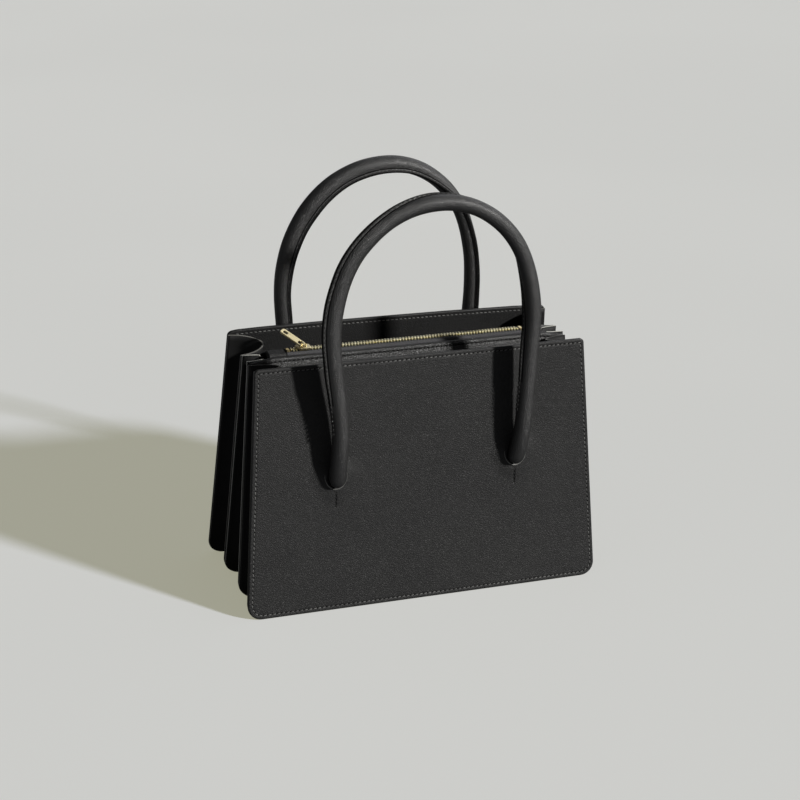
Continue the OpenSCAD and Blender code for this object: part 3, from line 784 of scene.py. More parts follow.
def walk(line, pitch):
    """Points at even spacing along a polyline, with directions."""
    steps = np.linalg.norm(np.diff(line, axis=0), axis=1)
    at = np.concatenate([[0], np.cumsum(steps)])
    count = max(int(round(at[-1] / pitch)), 1)
    want = (np.arange(count) + 0.5) * at[-1] / count
    spots, ahead, behind = [
        np.stack([np.interp(want + shift, at, line[:, k]) for k in range(line.shape[1])], axis=-1)
        for shift in (0, 0.4, -0.4)
    ]
    return spots, ahead - behind


def stitch_row(name, panel, turned, depth, height, inner=False, thread=SHEEN_THREAD):
    """Stitches round a panel's face. inner puts them on the back of the sheet."""
    spots, ways = outline_walk(panel, STITCH_INSET, STITCH_PITCH)
    places = []
    for (x, s), (dx, ds) in zip(spots, ways):
        length = math.hypot(dx, ds)
        dx, ds = dx / length, ds / length
        tx, ts = dx - STITCH_TILT * ds, ds + STITCH_TILT * dx
        n = height(np.array([x]), np.array([s]))[0] + depth
        point = stand(panel, np.array([x]), np.array([s]), np.array([n]), turned)[0]
        up = direction(panel, 0, 0, -1 if inner else 1, turned)
        places.append((point, direction(panel, tx, ts, 0, turned), up))
    return repeat(name, STITCH, places, thread, 1.0, 0.06, 3)


def build_panel(name, panel, turned, relief, bow, fine, skin):
    """Leather over board with painted edges, its lining, and both rows of stitches."""
    nodes = [name + "_leather", name + "_board", name + "_lining"]
    grid = panel_grid(panel, fine)
    x, s, inset = grid
    base = sag(panel, x, s) * smooth_step(inset, *SAG_FADE) + bow(panel, x, s)
    front = base + relief(x, s) - edge_drop(inset, EDGE_ROUND) - stitch_groove(inset)
    core = bow(panel, x, s) - SHELL_T

    def place(px, ps, pn):
        return stand(panel, px, ps, pn, turned)

    # The faces along the stitch line take the near-black painted shade of a groove
    shell = slab(name + "_shell", grid, front, np.minimum(core, front - SKIN_LEAST), place,
                 [skin, EDGE_PAINT, SHADE_BLACK], (0, 1, 0, 2))
    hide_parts(nodes[0], nodes[1])
    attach(shell, "bag")
    coarse = grid if not fine else panel_grid(panel, False)
    cx, cs, cinset = coarse
    top = bow(panel, cx, cs) - SHELL_T - SKIN_GAP
    under = bow(panel, cx, cs) - SANDWICH_T + edge_drop(cinset, LINING_ROUND) + 0.6 * stitch_groove(cinset)
    lining = slab(name + "_lining_sheet", coarse, top, under, place, [LINING, EDGE_PAINT], (0, 1, 0, 0))
    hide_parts(nodes[2])
    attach(lining, "bag")

    def face(px, ps):
        return sag(panel, px, ps) * 0.1 + bow(panel, px, ps) - SKIN_GAP

    def back(px, ps):
        return bow(panel, px, ps) - SANDWICH_T + SKIN_GAP

    # Outer panels take the thread lightened by painted sheen, the partitions the dark thread
    thread = SHEEN_THREAD if fine else DARK_THREAD_AND_SHADE
    outer_row = stitch_row(name + "_stitches", panel, turned, -0.1, face, thread=thread)
    inner_row = stitch_row(name + "_lining_stitches", panel, turned, 0.08, back, inner=True)
    for row in (outer_row, inner_row):
        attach(row, "bag")


def no_relief(x, s):
    """A partition carries no feet."""
    return np.zeros_like(x)


def no_bow(panel, x, s):
    """An outer panel stands straight."""
    return np.zeros_like(x)


def front_feet(x, s):
    """Relief of the front panel round its two feet."""
    return foot_relief(x, s, True)


def rear_feet(x, s):
    """Relief of the rear panel round its two feet."""
    return foot_relief(x, s, False)


for label, turned, feet in (("front", False, front_feet), ("rear", True, rear_feet)):
    build_panel(label + "_panel", OUTER, turned, feet, no_bow, True, PANEL_LEATHER)
    build_panel(label + "_partition", INNER, turned, no_relief, partition_bow, False, PARTITION_LEATHER)


# Painted lips and stitched darts at the handle feet


# The painted lip's reach round a foot in degrees, its distance from the tube, its height and half its width,
# and the stitches down the dart
LIP_SPAN = 96
LIP_SIDE_GAP = 2.0
LIP_END_GAP = 0.9
LIP_H = 1.0
LIP_W = 0.38
DART_STITCHES = 4
DART_STITCH_FROM = 5.2
DART_STITCH_PITCH = 3.0


def foot_lip(name, place, feet, turned):
    """Edge of the opening that a handle's foot comes out of: a U round the foot's lower half."""
    x, s = place
    turns = np.radians(np.linspace(-LIP_SPAN, LIP_SPAN, 57))
    ring = np.linspace(0, 2 * math.pi, 11)[:-1]
    points = []
    for t in turns:
        out_x, out_s = math.sin(t), -math.cos(t)
        fade = float(smooth_step(abs(math.degrees(t)), 55, LIP_SPAN))
        reach = np.array([(HANDLE_R + LIP_SIDE_GAP) * out_x, (FOOT_LENGTH + LIP_END_GAP) * out_s])
        level = float(feet(np.array([x + reach[0] * 1.03]), np.array([s + reach[1] * 1.03]))[0])
        for p in ring:
            swell = LIP_W * math.cos(p) * (1 - 0.4 * fade)
            n = level + 0.25 + LIP_H * math.sin(p) * (1 - 0.6 * fade) - 0.6 * fade
            points.append((x + reach[0] + swell * out_x, s + reach[1] + swell * out_s, n))
    points = np.array(points)
    placed = stand(OUTER, points[:, 0], points[:, 1], points[:, 2], turned)
    # The lip's pale grey is a painted highlight on its black edge paint
    lip = piece(name, placed, bar_faces(len(turns), len(ring)), [LIP_HIGHLIGHT])
    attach(lip, "bag")


def dart_stitches(name, spots, feet, turned):
    """Stitches down the dart below each foot."""
    places = []
    for x, foot_s in spots:
        for i in range(DART_STITCHES):
            s = foot_s - FOOT_LENGTH - DART_STITCH_FROM - i * DART_STITCH_PITCH
            n = float(feet(np.array([x]), np.array([s]))[0]) + 0.22
            point = stand(OUTER, np.array([x]), np.array([s]), np.array([n]), turned)[0]
            places.append((point, direction(OUTER, 0.05, 1, 0, turned), direction(OUTER, 0, 0, 1, turned)))
    row = repeat(name, STITCH, places, DARK_THREAD_AND_SHADE, 0.85, 0.05, 7)
    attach(row, "bag")


for label, turned, feet, spots in (
    ("front", False, front_feet, FRONT_PLACES), ("rear", True, rear_feet, REAR_PLACES),
):
    foot_lip(label + "_left_foot_lip", spots[0], feet, turned)
    foot_lip(label + "_right_foot_lip", spots[1], feet, turned)
    dart_stitches(label + "_dart_stitches", spots, feet, turned)


# Gussets


def arc_turn(a, b, c, r, steps):
    """Points of the arc that rounds corner b between the edges from a and to c."""
    a, b, c = map(np.array, (a, b, c))
    u = (a - b) / np.linalg.norm(a - b)
    w = (c - b) / np.linalg.norm(c - b)
    half = math.acos(float(u @ w)) / 2
    middle = b + (u + w) / np.linalg.norm(u + w) * r / math.sin(half)
    start = b + u * r / math.tan(half) - middle
    end = b + w * r / math.tan(half) - middle
    first = math.atan2(start[1], start[0])
    turn = (math.atan2(end[1], end[0]) - first + math.pi) % (2 * math.pi) - math.pi
    t = first + turn * np.linspace(0, 1, steps + 1)
    return middle + r * np.stack([np.cos(t), np.sin(t)], axis=-1)


def edge_path(top_half, bottom_half, top):
    """Down one side, along the floor and up the other, in x and z."""
    tl, tr = (-top_half, top), (top_half, top)
    bl, br = (-bottom_half, SOFT_GAP), (bottom_half, SOFT_GAP)
    left = arc_turn(tl, bl, br, BOTTOM_CORNER_R, 12)
    right = arc_turn(bl, br, tr, BOTTOM_CORNER_R, 12)
    side = np.linspace(0, 1, 41)[:-1, None]
    floor = np.linspace(0, 1, 33)[1:-1, None]
    return np.concatenate([
        np.array(tl) + (left[0] - np.array(tl)) * side,
        left,
        left[-1] + (right[0] - left[-1]) * floor,
        right,
        (np.array(tr) + (right[-1] - np.array(tr)) * side)[::-1],
    ])


def face_y(face, z):
    """Depth of a leaning face at a height. face: its depth at the floor and its lean."""
    return face[0] + face[1] * z


def fold_curve(ea, eb, tip):
    """Section of a folded skin from edge ea by its tip to edge eb."""
    m = (ea + eb) / 2
    t = np.linspace(0, math.pi, FOLD_STEPS + 1)
    c = np.sign(np.cos(t)) * np.abs(np.cos(t)) ** (2 / FOLD_POWER)
    s = np.abs(np.sin(t)) ** (2 / FOLD_POWER)
    return m + (ea - m) * c[:, None] + (tip - m) * s[:, None]


def gusset(name, fa, fb, wa, wb, top_a, top_b, phase, node, edge, thick_top=0.0, lift=0.0, taller=False):
    """A folded skin between faces fa and fb, whose half widths are wa and wb, with a softly uneven fold.

    Its top ends can be thick and raised, and its first side can follow the taller rear panel.
    """
    path_a = edge_path(wa[0], wa[1], top_a)
    if taller:
        path_a[:, 1] += rear_rise(-path_a[:, 0], path_a[:, 1])
    path_b = edge_path(wb[0], wb[1], top_b)
    path_b[:, 1] -= corner_sag(path_b[:, 0], path_b[:, 1])
    if wa is INNER_W:
        path_a[:, 1] -= corner_sag(path_a[:, 0], path_a[:, 1])
    rings = len(path_a)
    walked = np.concatenate([[0], np.cumsum(np.linalg.norm(np.diff(path_a, axis=0), axis=1))])
    inside, outside = [], []
    for i, (pa, pb) in enumerate(zip(path_a, path_b)):
        ya, yb = face_y(fa, pa[1]), face_y(fb, pb[1])
        ea, eb = np.array([pa[0], ya, pa[1]]), np.array([pb[0], yb, pb[1]])
        z = max((pa[1] + pb[1]) / 2, BOTTOM_FOLD)
        half = (PANEL_BOTTOM_W + (PANEL_TOP_W - PANEL_BOTTOM_W) * z / PANEL_H) / 2 - SIDE_FOLD
        tip = np.array([
            max(-half, min(half, (pa[0] + pb[0]) / 2)),
            (face_y(fa, z) + face_y(fb, z)) / 2, z,
        ])
        m = (ea + eb) / 2
        way = (tip - m) / np.linalg.norm(tip - m)
        wander = 0.7 * math.sin(walked[i] / 31 + phase) + 0.45 * math.sin(walked[i] / 13.7 + 2 * phase)
        ease = min(1.0, walked[i] / EASE_L, (walked[-1] - walked[i]) / EASE_L)
        tip = tip - way * (0.5 + wander * 0.6 * ease) + np.array([0, 0.8 * wander * ease, 0])
        near_top = math.exp(-((PARTITION_H - (pa[1] + pb[1]) / 2) / THICK_TOP_H) ** 2)
        thin = (GUSSET_T + thick_top * near_top) / abs(ya - yb) * 2
        inside.append(fold_curve(ea, eb, tip))
        outside.append(fold_curve(ea + (m - ea) * thin, eb + (m - eb) * thin, tip - way * GUSSET_T))
    n = FOLD_STEPS + 1
    count = rings * n
    points = np.concatenate([np.array(inside).reshape(-1, 3), np.array(outside).reshape(-1, 3)])
    near_side = smooth_step(np.abs(points[:, 0]), *LIFT_SIDE)
    points[:, 2] += lift * (smooth_step(points[:, 2], top_a - LIFT_H, top_a) * near_side)
    faces = grid_faces(rings, n)
    faces += [f[::-1] for f in grid_faces(rings, n, count)]
    kinds = [0] * len(faces)
    for i in range(rings - 1):
        for j in (0, n - 1):
            a, b = i * n + j, (i + 1) * n + j
            faces.append([a, b, b + count, a + count])
            kinds.append(1)
    for j in range(n - 1):
        for i in (0, rings - 1):
            a = i * n + j
            faces.append([a, a + 1, a + 1 + count, a + count])
            kinds.append(1)
    skin = piece(name, points, faces, [GUSSET_LEATHER, edge], kinds)
    for polygon in skin.data.polygons:
        if polygon.material_index == 1:
            polygon.use_smooth = False
    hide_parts(node)
    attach(skin, "bag")


# Steps across a fold, how its unevenness eases out at the ends, and where a thick and raised top begins
FOLD_STEPS = 26
EASE_L = 12
THICK_TOP_H = 5.0
LIFT_H = 12
LIFT_SIDE = (106.5, 110)

# Faces that the gussets join, as depth at the floor and lean, and their half widths at the top and the floor
PART_WALL = SANDWICH_T / math.cos(PARTITION_LEAN)
REAR_INNER = (BOTTOM_DEPTH / 2 - SANDWICH_T / math.cos(PANEL_LEAN) - SOFT_GAP, -math.tan(PANEL_LEAN))
PART_OUTER = (PARTITION_BOTTOM_DEPTH / 2 + SOFT_GAP, -math.tan(PARTITION_LEAN))
PART_INNER = (PARTITION_BOTTOM_DEPTH / 2 - PART_WALL - SOFT_GAP, -math.tan(PARTITION_LEAN))
OUTER_W = (PANEL_TOP_W / 2 - SOFT_GAP / 2, PANEL_BOTTOM_W / 2 - SOFT_GAP / 2)
INNER_W = (OUTER_W[0] - PARTITION_INSET, OUTER_W[1] - PARTITION_INSET)
MOUTH_HALF = face_y(PART_INNER, PARTITION_H)
TAPE_EDGE_Z = PARTITION_H - TAPE_T - SOFT_GAP


def flipped(face):
    return (-face[0], -face[1])


gusset("rear_gusset_skin", REAR_INNER, PART_OUTER, OUTER_W, INNER_W,
       PANEL_H - GUSSET_DROP, PARTITION_H - GUSSET_DROP / 2, 0.6, "rear_gusset", RAW_EDGE, taller=True)
gusset("front_gusset_skin", flipped(REAR_INNER), flipped(PART_OUTER), OUTER_W, INNER_W,
       PANEL_H - GUSSET_DROP, PARTITION_H - GUSSET_DROP / 2, 2.4, "front_gusset", RAW_EDGE)
# The middle gusset's near-white top edges are a painted highlight
gusset("middle_gusset_skin", PART_INNER, flipped(PART_INNER), INNER_W, INNER_W,
       TAPE_EDGE_Z - END_TAB_T, TAPE_EDGE_Z - END_TAB_T, 4.1, "middle_gusset", PALE_EDGE_HIGHLIGHT,
       thick_top=1.7, lift=3.9)


# Handles


LEG_REACH = LEG_L + FOOT_BEND_R * math.sin(FOOT_TURN)
LEG_TOP = (FOOT_HALF + LEG_REACH * math.sin(LEG_SPLAY), LEG_REACH * math.cos(LEG_SPLAY))
SIDE_MIDDLE = (LEG_TOP[0] - SIDE_BEND_R * math.cos(LEG_SPLAY),
               LEG_TOP[1] + SIDE_BEND_R * math.sin(LEG_SPLAY))
SIDE_END = (SIDE_MIDDLE[0] + SIDE_BEND_R * math.cos(SIDE_BEND_END),
            SIDE_MIDDLE[1] + SIDE_BEND_R * math.sin(SIDE_BEND_END))
TOP_BEND_R = SIDE_END[0] / math.cos(SIDE_BEND_END)
TOP_MIDDLE_H = SIDE_END[1] - TOP_BEND_R * math.sin(SIDE_BEND_END)
FOOT_ARC = FOOT_BEND_R * FOOT_TURN
LEG_RUN = FOOT_ARC + LEG_L
SIDE_ARC = SIDE_BEND_R * (SIDE_BEND_END + LEG_SPLAY)
TOP_ARC = TOP_BEND_R * (math.pi / 2 - SIDE_BEND_END)
HALF_RUN = LEG_RUN + SIDE_ARC + TOP_ARC


def right_half(t):
    """A point t millimetres from the right foot: across, up, outward angle, depth and the bend's pitch."""
    pitch = max(FOOT_TURN - t / FOOT_BEND_R, 0)
    out = FOOT_BEND_R * (math.cos(pitch) - math.cos(FOOT_TURN))
    if t <= LEG_RUN:
        reach = FOOT_BEND_R * (math.sin(FOOT_TURN) - math.sin(pitch)) + max(t - FOOT_ARC, 0)
        return FOOT_HALF + reach * math.sin(LEG_SPLAY), reach * math.cos(LEG_SPLAY), -LEG_SPLAY, out, pitch
    if t <= LEG_RUN + SIDE_ARC:
        turn = -LEG_SPLAY + (t - LEG_RUN) / SIDE_BEND_R
        x, up = SIDE_MIDDLE[0] + SIDE_BEND_R * math.cos(turn), SIDE_MIDDLE[1] + SIDE_BEND_R * math.sin(turn)
        return x, up, turn, out, pitch
    turn = SIDE_BEND_END + (t - LEG_RUN - SIDE_ARC) / TOP_BEND_R
    return TOP_BEND_R * math.cos(turn), TOP_MIDDLE_H + TOP_BEND_R * math.sin(turn), turn, out, pitch


def run_point(t):
    """A point t millimetres along the handle from its left foot, in the same terms."""
    if t < HALF_RUN:
        x, up, turn, out, pitch = right_half(t)
        return -x, up, math.pi - turn, out, pitch
    x, up, turn, out, pitch = right_half(2 * HALF_RUN - t)
    return x, up, turn, out, -pitch


# Turn of each sewn ridge in degrees, by millimetres along its handle from the left foot as seen from outside
FRONT_SEAM = (
    [0, 120, 186, 206, 232, 288, 346, 384, 422, 479],
    [-24, -24, -22, -8, 22, 85, 140, 178, 190, 192],
)
REAR_SEAM = ([0, 144, 166, 187, 202, 240, 360, 479], [64, 66, 78, 108, 121, 126, 130, 138])

# Lift of each handle and its share of the plain thickness, by millimetres along it from its left foot as
# seen from the front
FRONT_LIFT = (
    [0, 150, 175, 190, 215, 239, 262, 290, 330, 380, 440, 479],
    [0, 0, -0.4, -0.8, -0.6, 0.0, 0.7, 0.4, 0, 0.3, 2.3, 2.5],
)
REAR_LIFT = ([0, 150, 200, 235, 280, 330, 479], [0, 0, -0.5, -0.8, -0.5, 0, 0])
FRONT_THICK = (
    [0, 25, 50, 100, 130, 165, 190, 206, 239, 265, 290, 315, 340, 380, 479],
    [1.0, 1.0, 1.07, 1.10, 1.15, 1.14, 1.06, 0.98, 0.95, 0.95, 0.93, 0.94, 0.97, 1.0, 1.0],
)
REAR_THICK = (
    [0, 110, 135, 150, 175, 190, 215, 239, 265, 290, 315, 340, 380, 479],
    [0.99, 1.0, 1.08, 1.13, 1.16, 1.12, 1.10, 1.05, 0.97, 0.90, 0.90, 0.93, 1.03, 1.05],
)


def seam_angle(t, turned):
    """Angle of the sewn ridge: 0 points outwards in the arch's plane, 90 to the bag's middle."""
    return math.radians(float(eased(t, REAR_SEAM if turned else FRONT_SEAM)))


def thickness(t, turned):
    """Share of the tube's plain thickness, t millimetres along the handle."""
    if turned:
        return float(eased(2 * HALF_RUN - t, REAR_THICK))
    return float(eased(t, FRONT_THICK))


# Half of the sewn ridge's section, from its edge down to the tube, and the share of it that is used
FLANGE = [
    (8.2, 0.0), (8.17, 0.4), (8.0, 0.78), (7.7, 1.0), (7.3, 1.08),
    (6.95, 1.1), (6.62, 1.2), (6.3, 1.48), (6.02, 1.85), (5.72, 2.26),
]
FLANGE_SHARE = 0.976

# Sections round and along a handle, the plain ones at its ends, where the ridge rises, how far the swollen
# feet reach, and the place of the stitches
ROUND_STEPS = 17
RUN_STEPS = 236
CAP_STEPS = 6
BARE_RINGS = 35
RIDGE_FADE = (45, 80)
SWELL_REACH = 40
STITCH_START = 36
STITCH_OUT = 6.98
STITCH_SIDE = 0.98


def tube_profile():
    """Round tube with a raised seam that points along +a: its points, and the plain round under them."""
    start = math.atan2(FLANGE[-1][1], FLANGE[-1][0])
    rest = [start + (math.pi - start) * k / ROUND_STEPS for k in range(1, ROUND_STEPS + 1)]
    upper = [(FLANGE_SHARE * a, FLANGE_SHARE * b) for a, b in FLANGE]
    upper += [(TUBE_R * math.cos(t), TUBE_R * math.sin(t)) for t in rest]
    lower = [(a, -b) for a, b in upper[1:-1]][::-1]
    shape = np.array(upper + lower)
    angle = np.arctan2(shape[:, 1], shape[:, 0])
    plain = TUBE_R * np.stack([np.cos(angle), np.sin(angle)], axis=-1)
    return shape, plain


def handle_frame(t, turned):
    """Centre of the tube, its direction, its outward direction and the way to the bag's middle."""
    x, u, turn, out, pitch = run_point(t)
    lean = REAR_LEAN if turned else FRONT_LEAN
    up = np.array([0, math.sin(lean), math.cos(lean)])
    inward = np.array([0, math.cos(lean), -math.sin(lean)])
    across = np.array([1.0, 0, 0])
    if turned:
        x = x - float(eased(2 * HALF_RUN - t, REAR_WANDER))
        u = u + float(eased(2 * HALF_RUN - t, REAR_LIFT))
    else:
        x = x + float(eased(t, FRONT_WANDER))
        u = u + float(eased(t, FRONT_LIFT))
    centre = np.array([0, FOOT_Y, FOOT_Z]) + across * x + up * u - inward * out
    outward = across * math.cos(turn) + up * math.sin(turn)
    along = across * math.sin(turn) - up * math.cos(turn)
    along, inward = (along * math.cos(pitch) - inward * math.sin(pitch),
                     inward * math.cos(pitch) + along * math.sin(pitch))
    if turned:
        spin = np.array([-1, -1, 1])
        return centre * spin, along * spin, outward * spin, inward * spin
    return centre, along, outward, inward


def ridge_frame(t, turned):
    """Centre of the tube, its direction, the way to its ridge and the way square to both."""
    centre, along, outward, inward = handle_frame(t, turned)
    seam = seam_angle(t, turned)
    first = outward * math.cos(seam) + inward * math.sin(seam)
    second = -outward * math.sin(seam) + inward * math.cos(seam)
    return centre, along, first, second


def roll_rings(turned):
    """Sections of a handle from tip to tip with its round ends, and the two tips."""
    shape, plain = tube_profile()
    total = 2 * HALF_RUN
    rings, tips = [], []
    for t in np.linspace(0, total, RUN_STEPS):
        centre, along, first, second = ridge_frame(t, turned)
        near = min(t, total - t)
        flat = plain + (shape - plain) * float(smooth_step(near, *RIDGE_FADE))
        fat = thickness(t, turned) + 0.008 * math.sin(t / 9.0) + 0.006 * math.sin(t / 4.1 + 1)
        fat = fat + (FOOT_SWELL - 1) * (1 - float(smooth_step(near, 0, SWELL_REACH)))
        rings.append(centre + fat * (flat[:, :1] * first + flat[:, 1:] * second))
    for end, t in ((0, 0.0), (1, total)):
        centre, along, first, second = ridge_frame(t, turned)
        away = along if end else -along
        caps = []
        for k in range(1, CAP_STEPS + 1):
            turn = k / (CAP_STEPS + 1) * math.pi / 2
            flat = plain * math.cos(turn) ** 0.85 * FOOT_SWELL
            round_end = centre + away * CAP_LENGTH * math.sin(turn)
            caps.append(round_end + flat[:, :1] * first + flat[:, 1:] * second)
        rings = rings + caps if end else caps[::-1] + rings
        tips.append(centre + away * CAP_LENGTH)
    return rings, tips


def roll_slots(columns):
    """Material of each column round the tube: its ridge has a black edge, a crease darkened by painted
    shade, and between them a line of painted highlight.
    """
    dark = {0, 1, 2, 7, 8}
    # Columns 3 and 4 on each side of the ridge carry the painted highlight line
    line = {3, 4}
    slots = []
    for c in range(columns):
        place = min(c, columns - 1 - c)
        slots.append(1 if place in dark else 2 if place in line else 0)
    return slots


def ridge_stitches(label, turned):
    """A row of stitches down each side of the sewn ridge."""
    sewn = 2 * HALF_RUN - 2 * STITCH_START
    count = int(sewn / STITCH_PITCH)
    places = []
    for k in range(count):
        t = STITCH_START + (k + 0.5) * sewn / count
        centre, along, first, second = ridge_frame(t, turned)
        fat = thickness(t, turned)
        for side in (-1, 1):
            spot = centre + fat * (first * STITCH_OUT + second * side * STITCH_SIDE)
            places.append((spot, along, second * side))
    return repeat(label + "_handle_stitches", STITCH, places, DARK_THREAD_AND_SHADE, 0.95, 0.06, 11)


def build_handle(label, turned):
    """One rolled handle with its ridge and stitches."""
    rings, tips = roll_rings(turned)
    columns = len(rings[0])
    base = (len(rings) - 1) * columns
    first_tip = base + columns
    faces = grid_faces(len(rings), columns, close_columns=True)
    slots, kinds = roll_slots(columns), []
    for i in range(len(rings) - 1):
        shown = BARE_RINGS <= i < len(rings) - 1 - BARE_RINGS
        kinds += slots if shown else [0] * columns
    for c in range(columns):
        faces.append([first_tip, c, (c + 1) % columns])
        faces.append([first_tip + 1, base + (c + 1) % columns, base + c])
        kinds += [0, 0]
    points = np.concatenate(rings + [np.array(tips)])
    tube = piece(label + "_handle_roll", points, faces, [HANDLE_LEATHER, SHADE_BLACK, SEAM_HIGHLIGHT], kinds)
    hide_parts(label + "_handle_cover", label + "_handle_core")
    row = ridge_stitches(label, turned)
    for part in (tube, row):
        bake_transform(part)


build_handle("front", False)
build_handle("rear", True)


# Zip


# How far the tapes reach down inside the partitions
TAPE_HEM = 9.0


def tape_line():
    """Middle line of the rear tape's section from the chain outwards: y and z."""
    lean_y = TAPE_HEM * math.tan(PARTITION_LEAN)
    bend = SLIDER_W / 2 + SLIDER_GAP
    wall = MOUTH_HALF - TAPE_T / 2
    return np.array([
        (TOOTH_REACH / 2, CHAIN_Z), (bend * 0.75, CHAIN_Z), (bend, CHAIN_Z - 0.05),
        ((bend + wall) / 2 + 0.2, (CHAIN_Z + TAPE_EDGE_Z) / 2 + 0.02),
        (wall - 0.2, TAPE_EDGE_Z - 0.32), (wall, TAPE_EDGE_Z - 0.9), (wall + lean_y, TAPE_EDGE_Z - TAPE_HEM),
    ])


def build_tape(name, side, node):
    """Woven tape from the chain to its hem inside the partition, softly waved, with its own map and painted
    shade on the strip beside the teeth.
    """
    knots = tape_line()
    gaps = np.concatenate([[0], np.cumsum(np.linalg.norm(np.diff(knots, axis=0), axis=1))])
    at = np.linspace(0, gaps[-1], 25)
    y = np.interp(at, gaps, knots[:, 0])
    z = np.interp(at, gaps, knots[:, 1])
    slope_y, slope_z = np.gradient(y, at), np.gradient(z, at)
    size = np.hypot(slope_y, slope_z)
    out_y, out_z = -slope_z / size, slope_y / size
    xs = np.linspace(-TAPE_HALF, TAPE_HALF, 181)
    points, uv = [], []
    for face in (0.5, -0.5):
        for x in xs:
            bow = partition_bow(INNER, x, np.minimum(z / math.cos(PARTITION_LEAN), INNER["slope"] - 0.7))
            bow = bow * smooth_step(at, 2.5, 6.5)
            wave = 0.07 * math.sin(x / 5.3) * np.sin(at / 6.0 * math.pi)
            py = (y + bow + out_y * (face * TAPE_T + wave)) * side
            pz = z + out_z * (face * TAPE_T + wave)
            points.append(np.stack([np.full(len(at), x), py, pz], axis=-1))
            uv.append(np.stack([np.full(len(at), x * MM), at * MM], axis=-1))
    points, uv = np.concatenate(points), np.concatenate(uv)
    rows, columns = len(xs), len(at)
    faces, rim = sheet_faces(rows, columns)
    # The first columns beside the teeth take the near-black material: painted shade between the teeth
    shade_near_teeth = [1 if c % (columns - 1) < 4 else 0 for c in range((rows - 1) * (columns - 1))]
    kinds = shade_near_teeth * 2 + [0] * rim
    tape = piece(name, points, faces, [TAPE, DARK_THREAD_AND_SHADE], kinds, uv=uv)
    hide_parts(node)
    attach(tape, "bag")


def tooth_item():
    """One tooth of the rear row along x: a crowned head and two jaws that grip the tape."""
    grip = TAPE_T / 2 + 0.05
    tall = TOOTH_H / 2
    tip = -HEAD_CROSS
    upper = [
        (tip, tall * 0.35), (tip + 0.18, tall * 0.8), (tip + 0.6, tall * 0.98), (1.2, tall),
        (TOOTH_REACH - 0.5, tall * 0.96), (TOOTH_REACH, tall * 0.55), (TOOTH_REACH, grip), (1.4, grip),
    ]
    lower = [(y, -z) for y, z in upper[::-1]]
    outline = np.array(lower[-1:] + upper + lower[:-1])
    middle = np.array([1.1, 0.0])
    rings = []
    for x, share in ((-0.42, 0.86), (-0.3, 1.0), (0.3, 1.0), (0.42, 0.86)):
        flat = middle + (outline - middle) * np.array([0.5 + 0.5 * share, share])
        if share < 1:
            keep = np.abs(outline[:, 1]) <= grip + 1e-6
            flat[keep, 1] = outline[keep, 1]
        rings.append(np.stack([np.full(len(flat), x * TOOTH_T), flat[:, 0], flat[:, 1]], axis=-1))
    faces = bar_faces(len(rings), len(outline))
    item = piece("tooth_item", np.concatenate(rings), faces, [TEETH_BRASS])
    for polygon in item.data.polygons:
        polygon.use_smooth = False
    return item


def tooth_row(name, side, shift, node, item):
    """Teeth of one tape, set off along the chain by a share of their pitch."""
    places = []
    for i in range(TOOTH_COUNT):
        x = (i - TOOTH_COUNT / 2 + shift) * TOOTH_PITCH
        places.append(((x, 0, CHAIN_Z), (side, 0, 0), (0, 0, 1)))
    row = repeat(name, item, places, TEETH_BRASS, 1.0, 0.012, 5)
    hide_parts(node)
    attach(row, "bag")


build_tape("rear_tape_cloth", 1, "zip_tape_rear")
build_tape("front_tape_cloth", -1, "zip_tape_front")
TOOTH = tooth_item()
tooth_row("rear_teeth", 1, 0.25, "zip_teeth_rear", TOOTH)
tooth_row("front_teeth", -1, 0.75, "zip_teeth_front", TOOTH)


# Where an edge of metal stays sharp, the rims of the slider's plates and of the pull, the bridge and the pin
SHARP_FROM = math.radians(35)
PLATE_RIM = 0.28
PULL_RIM = 0.22
BRIDGE_HALF = 2.4
BRIDGE_POWER = 0.55
BRIDGE_W = 1.6
BRIDGE_T = 0.84
PIN_R = 0.58


def plate(name, outlines, thickness, rim, material, matrix):
    """A flat plate with rounded rims from closed outlines, the first outside and the others holes."""
    curve = bpy.data.curves.new(name, "CURVE")
    curve.dimensions = "2D"
    curve.fill_mode = "BOTH"
    curve.extrude = (thickness / 2 - rim) * MM
    curve.bevel_depth = rim * MM
    curve.bevel_resolution = 2
    curve.offset = -rim * MM
    for outline in outlines:
        spline = curve.splines.new("POLY")
        spline.points.add(len(outline) - 1)
        for point, (x, y) in zip(spline.points, outline):
            point.co = (x * MM, y * MM, 0, 1)
        spline.use_cyclic_u = True
    source = link(bpy.data.objects.new(name, curve))
    seen = source.evaluated_get(bpy.context.evaluated_depsgraph_get())
    mesh = bpy.data.meshes.new_from_object(seen)
    bpy.data.objects.remove(source)
    work = bmesh.new()
    work.from_mesh(mesh)
    bmesh.ops.remove_doubles(work, verts=work.verts[:], dist=1e-6)
    work.to_mesh(mesh)
    work.free()
    mesh.transform(matrix)
    face_outwards(mesh)
    mesh.materials.clear()
    mesh.materials.append(material)
    mesh.name = name
    return mesh


def arc_points(x, y, r, start, end, steps):
    turns = [math.radians(start + (end - start) * k / steps) for k in range(steps + 1)]
    return [(x + r * math.cos(turn), y + r * math.sin(turn)) for turn in turns]


def join_meshes(name, meshes, material):
    work = bmesh.new()
    for mesh in meshes:
        work.from_mesh(mesh)
    out = bpy.data.meshes.new(name)
    work.to_mesh(out)
    work.free()
    out.materials.append(material)
    return link(bpy.data.objects.new(name, out))


